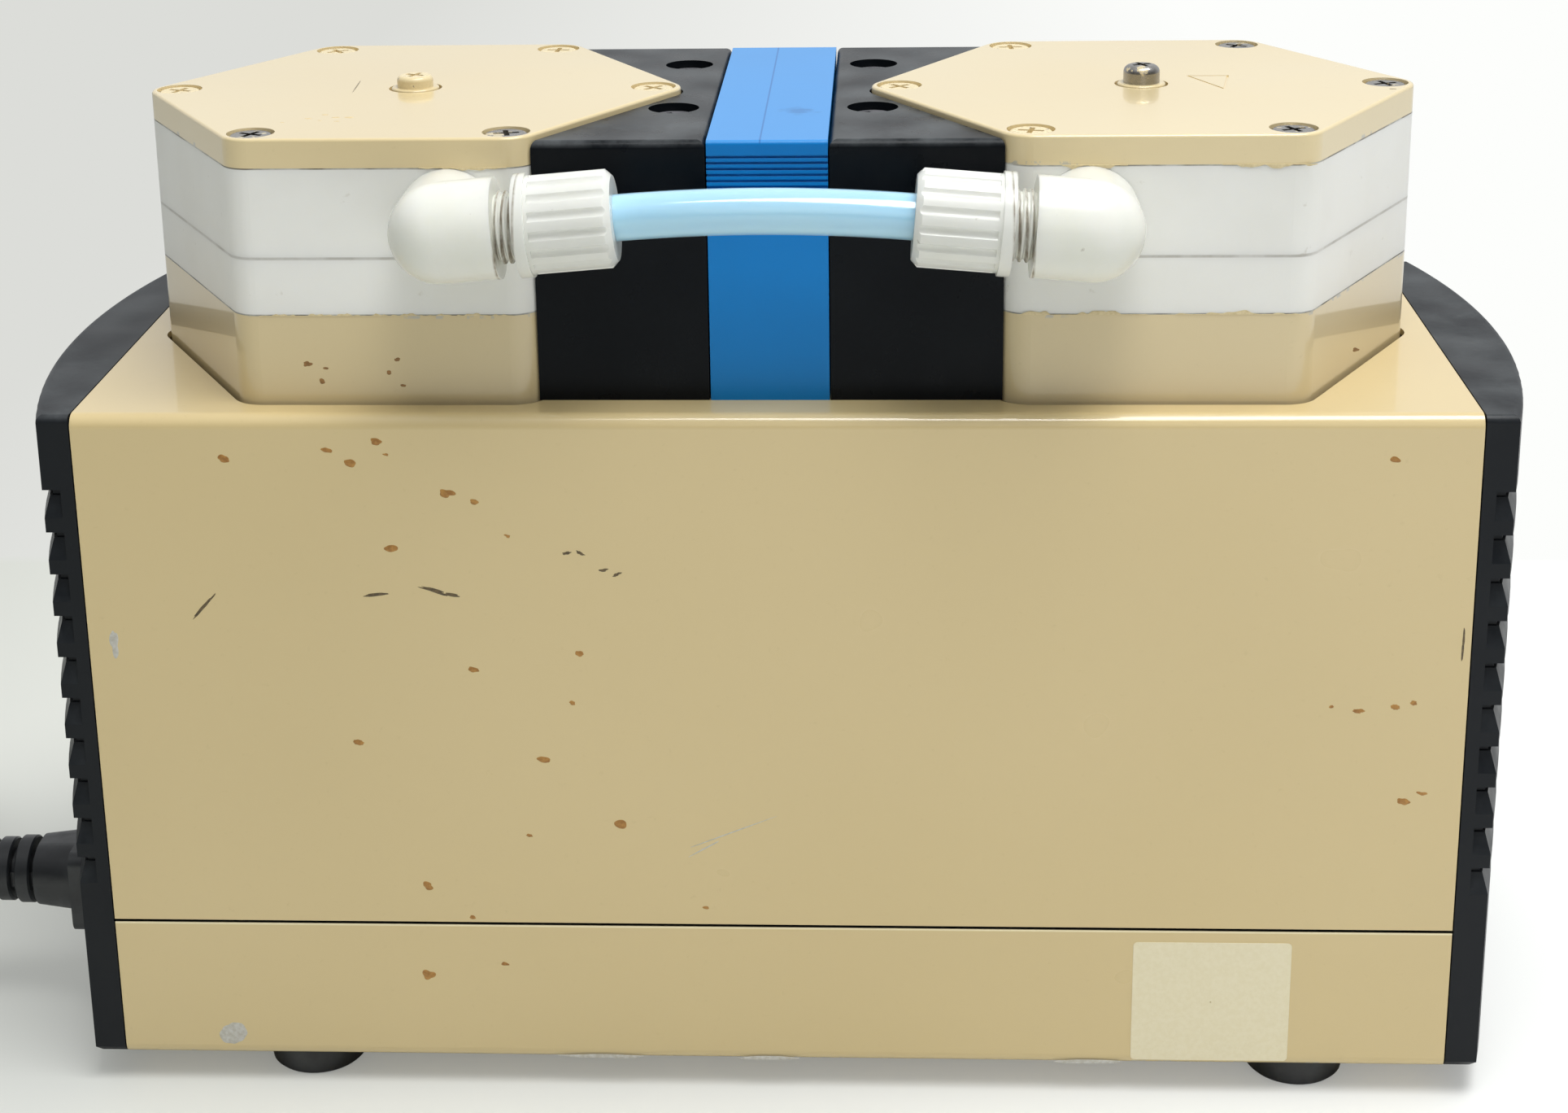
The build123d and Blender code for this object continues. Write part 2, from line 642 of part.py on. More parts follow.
def tie_bolt_holes(start, end, radius):
    """The four tie-bolt bores between two places along the shaft."""
    return [rod_x(radius, start, end, y, SHAFT_Z + z) for y, z in tie_bolt_points()]


def crankcase():
    """Right crankcase: motor collar, bearing wall, crank chamber and the hexagonal head seat."""
    x = (CRANKCASE_INNER, CRANKCASE_OUTER)
    half = MOTOR_SIDE / 2
    flange_bottom = BASE_TOP - CRANKCASE_FLANGE_HEIGHT
    body = box(x, (-half, half), (CRANKCASE_BOTTOM, flange_bottom + 1))
    body = fillet(body.edges().filter_by(Axis.X).group_by(Axis.Z)[0], MOTOR_CORNER)
    body += Pos(HEAD_X, 0, 0) * hexagon(flange_bottom, BASE_TOP)
    stack_end = STATOR_LENGTH / 2
    collar = motor_square() - Circle(MOTOR_BORE_RADIUS)
    body += along_shaft(collar, stack_end, CRANKCASE_INNER)
    body -= crank_chamber()
    body -= collar_windows(stack_end)
    body -= tie_bolt_holes(stack_end - 1, CRANKCASE_INNER + CRANKCASE_WALL + 4, TIE_BOLT_RADIUS + SCREW_HOLE_CLEARANCE)
    bolt_bore = BUFFER_BOLT_RADIUS + SCREW_HOLE_CLEARANCE
    body -= [rod_z(bolt_bore, CRANKCASE_BOTTOM - 1, CRANKCASE_BOTTOM + 10, HEAD_X, y) for y in (-BUFFER_Y, BUFFER_Y)]
    screw_bore = HEAD_SCREW_RADIUS + SCREW_HOLE_CLEARANCE
    grip = (BASE_TOP - HEAD_SCREW_GRIP, BASE_TOP + 1)
    return body - [rod_z(screw_bore, *grip, HEAD_X + p.X, p.Y) for p in head_screw_points()]


def crank_chamber():
    """Everything that is hollow in the right crankcase."""
    cavity = rod_x(CRANK_CAVITY_RADIUS, CRANKCASE_INNER + CRANKCASE_WALL, CRANKCASE_OUTER + 1, 0, SHAFT_Z)
    seat_depth = BEARING_WIDTH + PRESS_CLEARANCE
    seat_start = CRANKCASE_INNER + CRANKCASE_WALL - seat_depth
    cavity += rod_x(BEARING_RADIUS + PRESS_CLEARANCE, seat_start, CRANKCASE_INNER + CRANKCASE_WALL + 1, 0, SHAFT_Z)
    cavity += rod_x(SHAFT_RADIUS + 2.0, CRANKCASE_INNER - 1, CRANKCASE_OUTER, 0, SHAFT_Z)
    dish = BASE_TOP - DIAPHRAGM_THICKNESS
    relief = 9.0
    clearance = 0.1
    rod_space = turned_z([(0, SHAFT_Z), (ROD_BORE_RADIUS, SHAFT_Z), (ROD_BORE_RADIUS, dish - relief),
                          (DIAPHRAGM_CLAMPED_FROM, dish), (DIAPHRAGM_RADIUS + clearance, dish),
                          (DIAPHRAGM_RADIUS + clearance, BASE_TOP + 1), (0, BASE_TOP + 1)])
    return cavity + Pos(HEAD_X, 0, 0) * rod_space


def collar_windows(stack_end):
    """Cooling windows through the two upright walls of the motor collar."""
    middle = (stack_end + CRANKCASE_INNER) / 2
    return box((middle - 8, middle + 8), (-MOTOR_SIDE, MOTOR_SIDE), (SHAFT_Z - 20, SHAFT_Z + 20))


def slot_profile(grow=0.0):
    """Outline of one stator slot, lying along +X."""
    start = STATOR_BORE_RADIUS + 2.5
    reach = SLOT_DEPTH + 2 * grow
    return Pos(start + SLOT_DEPTH / 2, 0) * Rectangle(reach, SLOT_WIDTH + 2 * grow)


def stator_core():
    """Laminated stack with open slots and tie-bolt holes."""
    section = motor_square() - Circle(STATOR_BORE_RADIUS)
    mouth = Pos(STATOR_BORE_RADIUS + 1, 0) * Rectangle(6, SLOT_MOUTH)
    section -= [Rot(0, 0, 360 * k / STATOR_SLOTS) * (slot_profile() + mouth) for k in range(STATOR_SLOTS)]
    start, end = -STATOR_LENGTH / 2, STATOR_LENGTH / 2
    return along_shaft(section, start, end) - tie_bolt_holes(start - 1, end + 1, TIE_BOLT_RADIUS + SCREW_HOLE_CLEARANCE)


def stator_windings():
    """Coil sides in the slots, joined by a rounded ring of end turns on each side."""
    bars = Sketch() + [Rot(0, 0, 360 * k / STATOR_SLOTS) * slot_profile(-WINDING_CLEARANCE) for k in range(STATOR_SLOTS)]
    reach = STATOR_LENGTH / 2 + 2
    windings = along_shaft(bars, -reach, reach)
    inner = STATOR_BORE_RADIUS + 2.5 + WINDING_CLEARANCE
    outer = inner + SLOT_DEPTH + 1.5
    near = STATOR_LENGTH / 2 + 1
    far = near + WINDING_REACH
    bevel = 3.0
    ring = turned_x([(near, inner), (near, outer - bevel), (near + bevel, outer), (far - bevel, outer),
                     (far, outer - bevel), (far, inner + bevel), (far - bevel, inner)])
    ring = Pos(0, 0, SHAFT_Z) * ring
    return windings + ring + mirrored(ring)


def rotor():
    """Cage rotor with cast end rings, pressed on the shaft."""
    half = STATOR_LENGTH / 2
    outer = STATOR_BORE_RADIUS - AIR_GAP
    bore = SHAFT_RADIUS + PRESS_CLEARANCE
    tip = half + ROTOR_END_RING
    points = [(-tip, bore), (-tip, outer - 3), (-half, outer - 1), (-half, outer), (half, outer),
              (half, outer - 1), (tip, outer - 3), (tip, bore)]
    return Pos(0, 0, SHAFT_Z) * turned_x(points)


def motor_shaft():
    """Through shaft with chamfered ends and a flat for each fan."""
    shaft = rod_x(SHAFT_RADIUS, -SHAFT_HALF_LENGTH, SHAFT_HALF_LENGTH, 0, SHAFT_Z)
    shaft = chamfer(shaft.edges().filter_by(GeomType.CIRCLE), 1.0)
    flat = box((SHAFT_HALF_LENGTH - SHAFT_FLAT_LENGTH, SHAFT_HALF_LENGTH + 1), (-SHAFT_RADIUS, SHAFT_RADIUS),
               (SHAFT_Z + SHAFT_RADIUS - SHAFT_FLAT_DEPTH, SHAFT_Z + SHAFT_RADIUS + 1))
    return shaft - flat - mirrored(flat)


def ball_bearing(bore, outer, width):
    """A bearing about X = 0, with the groove between its rings on both faces."""
    band = (outer - bore) / 3
    inner_edge, outer_edge = bore + band, outer - band
    depth = 0.8
    half = width / 2
    return turned_x([(-half, bore), (-half, inner_edge), (-half + depth, inner_edge), (-half + depth, outer_edge),
                     (-half, outer_edge), (-half, outer), (half, outer), (half, outer_edge),
                     (half - depth, outer_edge), (half - depth, inner_edge), (half, inner_edge), (half, bore)])


def shaft_bearings():
    """The two main bearings in the crankcase walls."""
    bearing = ball_bearing(SHAFT_RADIUS + RUNNING_CLEARANCE, BEARING_RADIUS, BEARING_WIDTH)
    x = CRANKCASE_INNER + CRANKCASE_WALL - BEARING_WIDTH / 2
    return group([Pos(s * x, 0, SHAFT_Z) * bearing for s in (-1, 1)])


def motor_tie_bolts():
    """Four long bolts that clamp the stator between the crankcases."""
    reach = CRANKCASE_INNER + CRANKCASE_WALL + 2
    rods = [rod_x(TIE_BOLT_RADIUS, -reach, reach, y, SHAFT_Z + z) for y, z in tie_bolt_points()]
    return group(rods)


# ======== crank, rods and diaphragms ========
def eccentric(throw):
    """Right eccentric with its counterweight, for a crank pin above or below the shaft."""
    start, end = HEAD_X - ECCENTRIC_LENGTH / 2, HEAD_X + ECCENTRIC_LENGTH / 2
    piece = rod_x(ECCENTRIC_RADIUS, start, end, 0, SHAFT_Z + throw)
    weight_end = HEAD_X - ROD_WIDTH / 2 - 1.5
    weight_start = weight_end - COUNTERWEIGHT_LENGTH
    disc = rod_x(COUNTERWEIGHT_RADIUS, weight_start, weight_end, 0, SHAFT_Z)
    heavy = -1 if throw > 0 else 1
    low, high = sorted((SHAFT_Z, SHAFT_Z + heavy * 2 * COUNTERWEIGHT_RADIUS))
    span = 2 * COUNTERWEIGHT_RADIUS
    piece += disc & box((weight_start, weight_end), (-span, span), (low, high))
    return piece - rod_x(SHAFT_RADIUS + PRESS_CLEARANCE, weight_start - 1, end + 1, 0, SHAFT_Z)


def rod_bearing(throw):
    """Bearing between the eccentric and the connecting rod."""
    bearing = ball_bearing(ECCENTRIC_RADIUS + RUNNING_CLEARANCE, ROD_BEARING_RADIUS, ROD_BEARING_WIDTH)
    return Pos(HEAD_X, 0, SHAFT_Z + throw) * bearing


def connecting_rod(throw):
    """Aluminium rod: bearing eye, tapered I-section shank and the disc under the diaphragm."""
    pin = SHAFT_Z + throw
    disc_top = diaphragm_middle(throw) - DIAPHRAGM_THICKNESS / 2
    disc_bottom = disc_top - SUPPORT_DISC_HEIGHT
    half = ROD_WIDTH / 2
    low, high = pin + ROD_EYE_RADIUS - 4, disc_bottom + 1
    a, b = ROD_SHANK_BOTTOM / 2, ROD_SHANK_TOP / 2
    shank = extrude(Plane.YZ * make_face(Polyline((-a, low), (a, low), (b, high), (-b, high), close=True)),
                    half, both=True)
    rod = rod_x(ROD_EYE_RADIUS, -half, half, 0, pin) + shank
    rim = 3.0
    pocket = extrude(Plane.YZ * make_face(Polyline((-a + rim, low + 6), (a - rim, low + 6), (b - rim, high - 8),
                                                   (-b + rim, high - 8), close=True)), 20)
    rod -= Pos(ROD_WEB / 2, 0, 0) * pocket
    rod -= Pos(-ROD_WEB / 2 - 20, 0, 0) * pocket
    rod += rod_z(SUPPORT_DISC_RADIUS, disc_bottom, disc_top)
    rod -= rod_x(ROD_BEARING_RADIUS + PRESS_CLEARANCE, -half - 1, half + 1, 0, pin)
    rod -= rod_z(CLAMP_SCREW_RADIUS + PRESS_CLEARANCE, disc_top - CLAMP_SCREW_DEPTH, disc_top + 1)
    return Pos(HEAD_X, 0, 0) * rod


def diaphragm_middle(throw):
    """Height of the clamped centre of a diaphragm at the rest position of the crank."""
    return BASE_TOP - DIAPHRAGM_THICKNESS / 2 + throw


def diaphragm(throw):
    """Rubber disc with a flat rim, a sloping web and a flat centre with a hole."""
    t = DIAPHRAGM_THICKNESS / 2
    rim = BASE_TOP - t
    centre = rim + throw
    hole = CLAMP_SCREW_RADIUS + COUNTERBORE_CLEARANCE
    inner = SUPPORT_DISC_RADIUS + 1.5
    outer = DIAPHRAGM_CLAMPED_FROM - 2.0
    squeeze = 0.05
    points = [(hole, centre - t), (inner, centre - t), (outer, rim - t + squeeze), (DIAPHRAGM_RADIUS, rim - t + squeeze),
              (DIAPHRAGM_RADIUS, rim + t - squeeze), (outer, rim + t - squeeze), (inner, centre + t), (hole, centre + t)]
    return Pos(HEAD_X, 0, 0) * turned_z(points)


def clamp_disc(throw):
    """Disc that clamps the diaphragm's centre to the rod, rounded towards the chamber."""
    bottom = diaphragm_middle(throw) + DIAPHRAGM_THICKNESS / 2
    disc = rod_z(SUPPORT_DISC_RADIUS, bottom, bottom + CLAMP_DISC_HEIGHT)
    disc = fillet(disc.edges().group_by(Axis.Z)[-1], 1.2)
    stud = rod_z(CLAMP_SCREW_RADIUS, bottom - DIAPHRAGM_THICKNESS - CLAMP_SCREW_DEPTH + 1, bottom + 1)
    return Pos(HEAD_X, 0, 0) * (disc + stud)


# ======== heads ========
def port_places():
    """X and Y of the two valve ports of the right head, front then back."""
    return [(-PORT_INSET, -VALVE_Y), (-PORT_INSET, VALVE_Y)]


def intermediate_plate():
    """Plate over the diaphragm, with the pump chamber below and the valve seats on top."""
    plate = hexagon(BASE_TOP, INTERMEDIATE_TOP)
    plate = drilled(plate, HEAD_SCREW_RADIUS + SCREW_HOLE_CLEARANCE, BASE_TOP - 1, INTERMEDIATE_TOP + 1)
    roof = BASE_TOP + CRANK_THROW + CLAMP_DISC_HEIGHT + CHAMBER_CLEARANCE
    plate -= turned_z([(0, BASE_TOP - 1), (CHAMBER_RADIUS, BASE_TOP - 1), (CHAMBER_RADIUS, BASE_TOP + CHAMBER_LIP),
                       (CHAMBER_ROOF_RADIUS, roof), (0, roof)])
    seat = INTERMEDIATE_TOP - VALVE_THICKNESS - VALVE_LIFT
    for x, y in port_places():
        plate -= rod_z(VALVE_RADIUS + VALVE_SIDE_CLEARANCE, seat, INTERMEDIATE_TOP + 1, x, y)
        plate -= rod_z(VALVE_PORT_RADIUS, BASE_TOP, seat + 1, x, y)
    return Pos(HEAD_X, 0, 0) * plate


def valve_disc(index):
    """One flat valve disc on its seat in the right head."""
    x, y = port_places()[index]
    seat = INTERMEDIATE_TOP - VALVE_THICKNESS - VALVE_LIFT
    return rod_z(VALVE_RADIUS, seat, seat + VALVE_THICKNESS, HEAD_X + x, y)


def head_lid():
    """Lid with a threaded socket front and back and the ducts down to the valves."""
    lid = hexagon(INTERMEDIATE_TOP, LID_TOP)
    lid = drilled(lid, HEAD_SCREW_RADIUS + SCREW_HOLE_CLEARANCE, INTERMEDIATE_TOP - 1, LID_TOP + 1)
    for (x, y), side in zip(port_places(), (-1, 1)):
        face = side * HEAD_APOTHEM
        lid -= rod_y(PORT_RADIUS, y - side * PORT_RADIUS, face, x, PORT_Z)
        lid -= rod_y(SOCKET_RADIUS + SCREW_HOLE_CLEARANCE, face - side * SOCKET_DEPTH, face + side, x, PORT_Z)
        lid -= rod_z(PORT_RADIUS, INTERMEDIATE_TOP - 1, PORT_Z, x, y)
    lid -= rod_z(CENTRE_SCREW_RADIUS, LID_TOP - CENTRE_SCREW_DEPTH, LID_TOP + 1)
    return Pos(HEAD_X, 0, 0) * lid


def pressure_plate():
    """Painted top plate, with counterbores that nearly reach its edge."""
    plate = hexagon(LID_TOP, PLATE_TOP)
    plate = fillet(plate.edges().group_by(Axis.Z)[-1], PLATE_EDGE)
    plate = drilled(plate, HEAD_SCREW_RADIUS + SCREW_HOLE_CLEARANCE, LID_TOP - 1, PLATE_TOP + 1)
    sink = PLATE_TOP - HEAD_SCREW_HEAD_HEIGHT - 0.3
    plate = drilled(plate, HEAD_SCREW_HEAD_RADIUS + COUNTERBORE_CLEARANCE, sink, PLATE_TOP + 1)
    plate -= rod_z(CENTRE_HOLE_RADIUS, LID_TOP - 1, PLATE_TOP + 1)
    return Pos(HEAD_X, 0, 0) * plate


def flow_mark():
    """Engraved triangle that shows the flow direction on the right plate."""
    depth, line = 0.3, 0.5
    corners = ((HEAD_X + 11.3, 9.0), (HEAD_X + 21.3, 9.0), (HEAD_X + 18.4, -7.5))
    outer = make_face(Polyline(*corners, close=True))
    ring = outer - offset(outer, -line, kind=Kind.INTERSECTION)
    return Pos(0, 0, PLATE_TOP - depth) * extrude(ring, depth + 1)


def head_screws():
    """The six screws of the right head."""
    length = PLATE_TOP - HEAD_SCREW_HEAD_HEIGHT - BASE_TOP + HEAD_SCREW_GRIP - 2
    screws = []
    for k, p in enumerate(head_screw_points()):
        screw = flat_screw(HEAD_SCREW_RADIUS, HEAD_SCREW_HEAD_RADIUS, HEAD_SCREW_HEAD_HEIGHT, length)
        screws.append(Pos(HEAD_X + p.X, p.Y, PLATE_TOP - 0.3) * Rot(0, 0, 20 + 37 * k) * screw)
    return group(screws)


def centre_bush():
    """Painted bush that fills the plate's middle hole and stands on the lid."""
    bush = rod_z(CENTRE_BUSH_RADIUS, LID_TOP, PLATE_TOP + 0.4)
    bush = fillet(bush.edges().group_by(Axis.Z)[-1], 0.6)
    return Pos(HEAD_X, 0, 0) * (bush - rod_z(CENTRE_SCREW_RADIUS + SCREW_HOLE_CLEARANCE, LID_TOP - 1, PLATE_TOP + 1))


def centre_screw(proud):
    """Domed screw through the bush, standing proud of the plate by a given height."""
    seat = PLATE_TOP + 0.4
    height = proud - 0.4
    shank_top = PLATE_TOP + proud - height
    head = rod_z(CENTRE_SCREW_HEAD_RADIUS, shank_top, PLATE_TOP + proud)
    head = fillet(head.edges().group_by(Axis.Z)[-1], height * 0.42)
    head -= Pos(0, 0, PLATE_TOP + proud) * Rot(0, 0, 25) * cross_recess(1.1, 4.6, 1.6)
    shank = rod_z(CENTRE_SCREW_RADIUS - PRESS_CLEARANCE, LID_TOP - CENTRE_SCREW_DEPTH + 0.5, seat)
    return Pos(HEAD_X, 0, 0) * (head + shank)


# ======== fittings and connecting tube ========
def on_port_axis(shape):
    """Places a shape drawn along +X on the left elbow's outlet axis."""
    return Pos(-PORT_X, ELBOW_Y, PORT_Z) * Rot(0, -ELBOW_TILT, 0) * shape


def threaded(start, end):
    """Points along a thread's crests and roots, as rings."""
    turns = int((end - start) / THREAD_PITCH - 0.01)
    points = []
    for k in range(turns):
        x = start + k * THREAD_PITCH
        points += [(x + 0.25 * THREAD_PITCH, THREAD_ROOT), (x + 0.5 * THREAD_PITCH, THREAD_RADIUS),
                   (x + 0.75 * THREAD_PITCH, THREAD_RADIUS), (x + THREAD_PITCH, THREAD_ROOT)]
    return points


def front_elbow():
    """Left elbow: a collar and thread into the lid, a domed corner and a threaded outlet."""
    barrel = turned_x([(0, 0), (0, ELBOW_RADIUS), (ELBOW_SHOULDER, ELBOW_RADIUS), (ELBOW_SHOULDER, THREAD_ROOT)]
                      + threaded(ELBOW_SHOULDER, ELBOW_END) + [(ELBOW_END, THREAD_ROOT), (ELBOW_END, 0)])
    barrel = barrel + Sphere(ELBOW_RADIUS)
    elbow = on_port_axis(barrel) + rod_y(ELBOW_RADIUS, ELBOW_Y, HEAD_FRONT, -PORT_X, PORT_Z)
    elbow += rod_y(SOCKET_RADIUS, HEAD_FRONT, HEAD_FRONT + SOCKET_DEPTH - 0.5, -PORT_X, PORT_Z)
    elbow -= on_port_axis(rod_x(TUBE_BORE, 0, ELBOW_END + 1))
    return elbow - rod_y(TUBE_BORE, ELBOW_Y, HEAD_FRONT + SOCKET_DEPTH, -PORT_X, PORT_Z)


def union_nut():
    """Left union nut: a flange ring, wide flutes and a chamfered nose round the tube."""
    wall = NUT_END - NUT_WALL
    inner = THREAD_RADIUS + TUBE_CLEARANCE
    ring = NUT_START + NUT_FLANGE_LENGTH
    nose = 1.4
    nut = turned_x([(NUT_START, inner), (NUT_START, NUT_FLANGE_RADIUS), (ring, NUT_FLANGE_RADIUS),
                    (ring, NUT_RADIUS), (NUT_END - nose, NUT_RADIUS), (NUT_END, NUT_RADIUS - nose),
                    (NUT_END, TUBE_RADIUS + TUBE_CLEARANCE), (wall, TUBE_RADIUS + TUBE_CLEARANCE), (wall, inner)])
    cutter = 1.3
    flute = rod_x(cutter, ring + 0.8, NUT_END + 1, 0, NUT_RADIUS + cutter - NUT_FLUTE_DEPTH)
    nut -= [Rot(360 * k / NUT_FLUTES, 0, 0) * flute for k in range(NUT_FLUTES)]
    return on_port_axis(nut)


def ferrule():
    """Left sealing ring between the elbow's end and the nut, with a tapered back."""
    start = ELBOW_END + TUBE_CLEARANCE
    bore = TUBE_RADIUS + TUBE_CLEARANCE
    return on_port_axis(turned_x([(start, bore), (start, THREAD_RADIUS - 0.2), (start + 1.5, THREAD_RADIUS - 0.2),
                                  (start + FERRULE_LENGTH, bore + 0.8), (start + FERRULE_LENGTH, bore)]))


def connecting_tube():
    """Soft tube that rises in a shallow arc from one nut to the other."""
    tilt = radians(ELBOW_TILT)
    start, leave = [Vector(-PORT_X + s * cos(tilt), ELBOW_Y, PORT_Z + s * sin(tilt))
                    for s in (ELBOW_END + 2 * TUBE_CLEARANCE, NUT_END)]
    radius = -leave.X / sin(tilt)
    top = Vector(0, ELBOW_Y, leave.Z + radius * (1 - cos(tilt)))
    far = [Vector(-p.X, p.Y, p.Z) for p in (leave, start)]
    path = Wire([Line(start, leave).edge(), ThreePointArc(leave, top, far[0]).edge(), Line(far[0], far[1]).edge()])
    section = Plane(origin=start, z_dir=leave - start) * (Circle(TUBE_RADIUS) - Circle(TUBE_BORE))
    return sweep(section, path=path)


def hose_nozzle():
    """Right rear nozzle: thread, spanner collar, barbs and a plain pilot end."""
    points = [(0.5 - SOCKET_DEPTH, NOZZLE_BORE), (0.5 - SOCKET_DEPTH, SOCKET_RADIUS), (0, SOCKET_RADIUS),
              (0, NOZZLE_COLLAR_RADIUS), (NOZZLE_COLLAR_LENGTH, NOZZLE_COLLAR_RADIUS)]
    for k in range(NOZZLE_BARBS):
        x = NOZZLE_COLLAR_LENGTH + k * NOZZLE_BARB_PITCH
        points += [(x, NOZZLE_BARB_ROOT), (x + 1, NOZZLE_BARB_ROOT), (x + 1.2, NOZZLE_BARB)]
    barb_end = NOZZLE_COLLAR_LENGTH + NOZZLE_BARBS * NOZZLE_BARB_PITCH
    nozzle = turned_x(points + [(barb_end, NOZZLE_RADIUS), (NOZZLE_LENGTH - 0.8, NOZZLE_RADIUS),
                                (NOZZLE_LENGTH, NOZZLE_RADIUS - 0.8), (NOZZLE_LENGTH, NOZZLE_BORE)])
    spanner = extrude(Plane.YZ * (Circle(NOZZLE_COLLAR_RADIUS + 1) - RegularPolygon(NOZZLE_COLLAR_RADIUS * 0.9, 6,
                                                                                    major_radius=False)),
                      NOZZLE_COLLAR_LENGTH)
    return Pos(PORT_X, HEAD_APOTHEM, PORT_Z) * Rot(0, 0, 90) * (nozzle - spanner)


# ======== centre cover and grip strip ========
def cover_screw_points():
    """X and Y of the four centre-cover screws."""
    return [(s * COVER_SCREW_X, y) for s in (-1, 1) for y in (COVER_SCREW_FRONT_Y, COVER_SCREW_BACK_Y)]


def block_outline():
    """Plan of the right cover block before the head's shape is cut from it."""
    inner = STRIP_HALF_WIDTH + STRIP_GAP
    centre = Pos((inner + BLOCK_OUTER_X) / 2, (BLOCK_FRONT + BLOCK_BACK) / 2)
    return centre * Rectangle(BLOCK_OUTER_X - inner, BLOCK_BACK - BLOCK_FRONT)


def centre_cover():
    """Right moulded block between the heads, hollow below, with two sunk screws."""
    outline = block_outline()
    head = Pos(HEAD_X, 0) * head_outline(BLOCK_GAP)
    block = Pos(0, 0, CASE_TOP) * extrude(outline, BLOCK_TOP - CASE_TOP)
    block = fillet(block.faces().sort_by(Axis.Z)[-1].edges(), BLOCK_EDGE)
    block -= Pos(0, 0, CASE_TOP - 1) * extrude(head, BLOCK_TOP - CASE_TOP + 2)
    core = offset(outline - head, -BLOCK_WALL, kind=Kind.INTERSECTION)
    block -= Pos(0, 0, CASE_TOP - 1) * extrude(core, BLOCK_TOP - BLOCK_WALL - CASE_TOP + 1)
    seat = BLOCK_TOP - COVER_SCREW_SUNK - COVER_SCREW_HEAD_HEIGHT
    for y in (COVER_SCREW_FRONT_Y, COVER_SCREW_BACK_Y):
        block += rod_z(COVER_SCREW_COUNTERBORE + 1.5, CASE_TOP, BLOCK_TOP - 1, COVER_SCREW_X, y)
        block -= rod_z(COVER_SCREW_RADIUS + SCREW_HOLE_CLEARANCE, CASE_TOP - 1, BLOCK_TOP, COVER_SCREW_X, y)
        block -= rod_z(COVER_SCREW_COUNTERBORE, seat, BLOCK_TOP + 1, COVER_SCREW_X, y)
    return block


def grip_strip():
    """Coloured strip between the blocks, with a band of fine ribs under its front top edge."""
    w = STRIP_HALF_WIDTH
    strip = box((-w, w), (BLOCK_FRONT, BLOCK_BACK), (CASE_TOP, BLOCK_TOP))
    strip = fillet(strip.edges().filter_by(Axis.X).group_by(Axis.Z)[-1], 1.0)
    strip -= box((BLOCK_WALL - w, w - BLOCK_WALL), (BLOCK_FRONT + BLOCK_WALL, BLOCK_BACK - BLOCK_WALL),
                 (CASE_TOP - 1, BLOCK_TOP - BLOCK_WALL))
    for k in range(STRIP_GROOVES):
        top = BLOCK_TOP - STRIP_PLAIN_BAND - k * STRIP_GROOVE_PITCH
        strip -= box((-w - 1, w + 1), (BLOCK_FRONT - 1, BLOCK_FRONT + STRIP_GROOVE_DEPTH),
                     (top - STRIP_GROOVE_WIDTH, top))
    return strip


def centre_cover_screws():
    """Long screws down through the blocks into the top cover."""
    length = BLOCK_TOP - COVER_SCREW_SUNK - COVER_SCREW_HEAD_HEIGHT - CASE_TOP + 6
    screw = flat_screw(COVER_SCREW_RADIUS, COVER_SCREW_HEAD_RADIUS, COVER_SCREW_HEAD_HEIGHT, length)
    return group(Pos(x, y, BLOCK_TOP - COVER_SCREW_SUNK) * Rot(0, 0, 30) * screw for x, y in cover_screw_points())


# ======== fans and electrics ========
def fan():
    """Right fan: a hub on the shaft, pitched blades and a thin rim."""
    wheel = rod_x(FAN_HUB_RADIUS, FAN_X, FAN_X + FAN_WIDTH, 0, SHAFT_Z)
    middle = FAN_X + FAN_WIDTH / 2
    reach = FAN_RADIUS - FAN_HUB_RADIUS + 2
    chord = FAN_WIDTH * 1.25
    blade = Pos(0, 0, FAN_HUB_RADIUS - 1 + reach / 2 - 0.5) * Rot(0, 0, FAN_PITCH) * Box(chord, FAN_BLADE_THICKNESS, reach)
    blades = [Pos(middle, 0, SHAFT_Z) * Rot(360 * k / FAN_BLADES, 0, 0) * blade for k in range(FAN_BLADES)]
    tip = rod_x(FAN_RADIUS, FAN_X - 2, FAN_X + FAN_WIDTH + 2, 0, SHAFT_Z)
    for one in blades:
        wheel += one & tip
    return wheel - rod_x(SHAFT_RADIUS + PRESS_CLEARANCE, FAN_X - 3, FAN_X + FAN_WIDTH + 3, 0, SHAFT_Z)


def capacitor_z():
    """Height of the run capacitor's axis."""
    return TRAY_FLOOR + CLIP_WALL + CAPACITOR_RADIUS + 0.1


def run_capacitor():
    """Run capacitor lying on the tray, with two terminal tabs."""
    half = CAPACITOR_LENGTH / 2
    can = rod_x(CAPACITOR_RADIUS, -half, half, CAPACITOR_Y, capacitor_z())
    can = fillet(can.edges().filter_by(GeomType.CIRCLE), 1.5)
    tabs = [box((half - 1, half + 8), (CAPACITOR_Y + s * 5 - 0.4, CAPACITOR_Y + s * 5 + 0.4),
                (capacitor_z() - 3, capacitor_z() + 3)) for s in (-1, 1)]
    return can + tabs


def capacitor_clip():
    """Spring band round the capacitor, on a foot plate."""
    z = capacitor_z()
    x = (-CLIP_WIDTH / 2, CLIP_WIDTH / 2)
    band = rod_x(CAPACITOR_RADIUS + 0.1 + CLIP_WALL, *x, CAPACITOR_Y, z)
    foot_reach = CAPACITOR_RADIUS + 9
    foot = box(x, (CAPACITOR_Y - foot_reach, CAPACITOR_Y + foot_reach), (TRAY_FLOOR, TRAY_FLOOR + CLIP_WALL))
    return band + foot - rod_x(CAPACITOR_RADIUS + 0.1, x[0] - 1, x[1] + 1, CAPACITOR_Y, z)


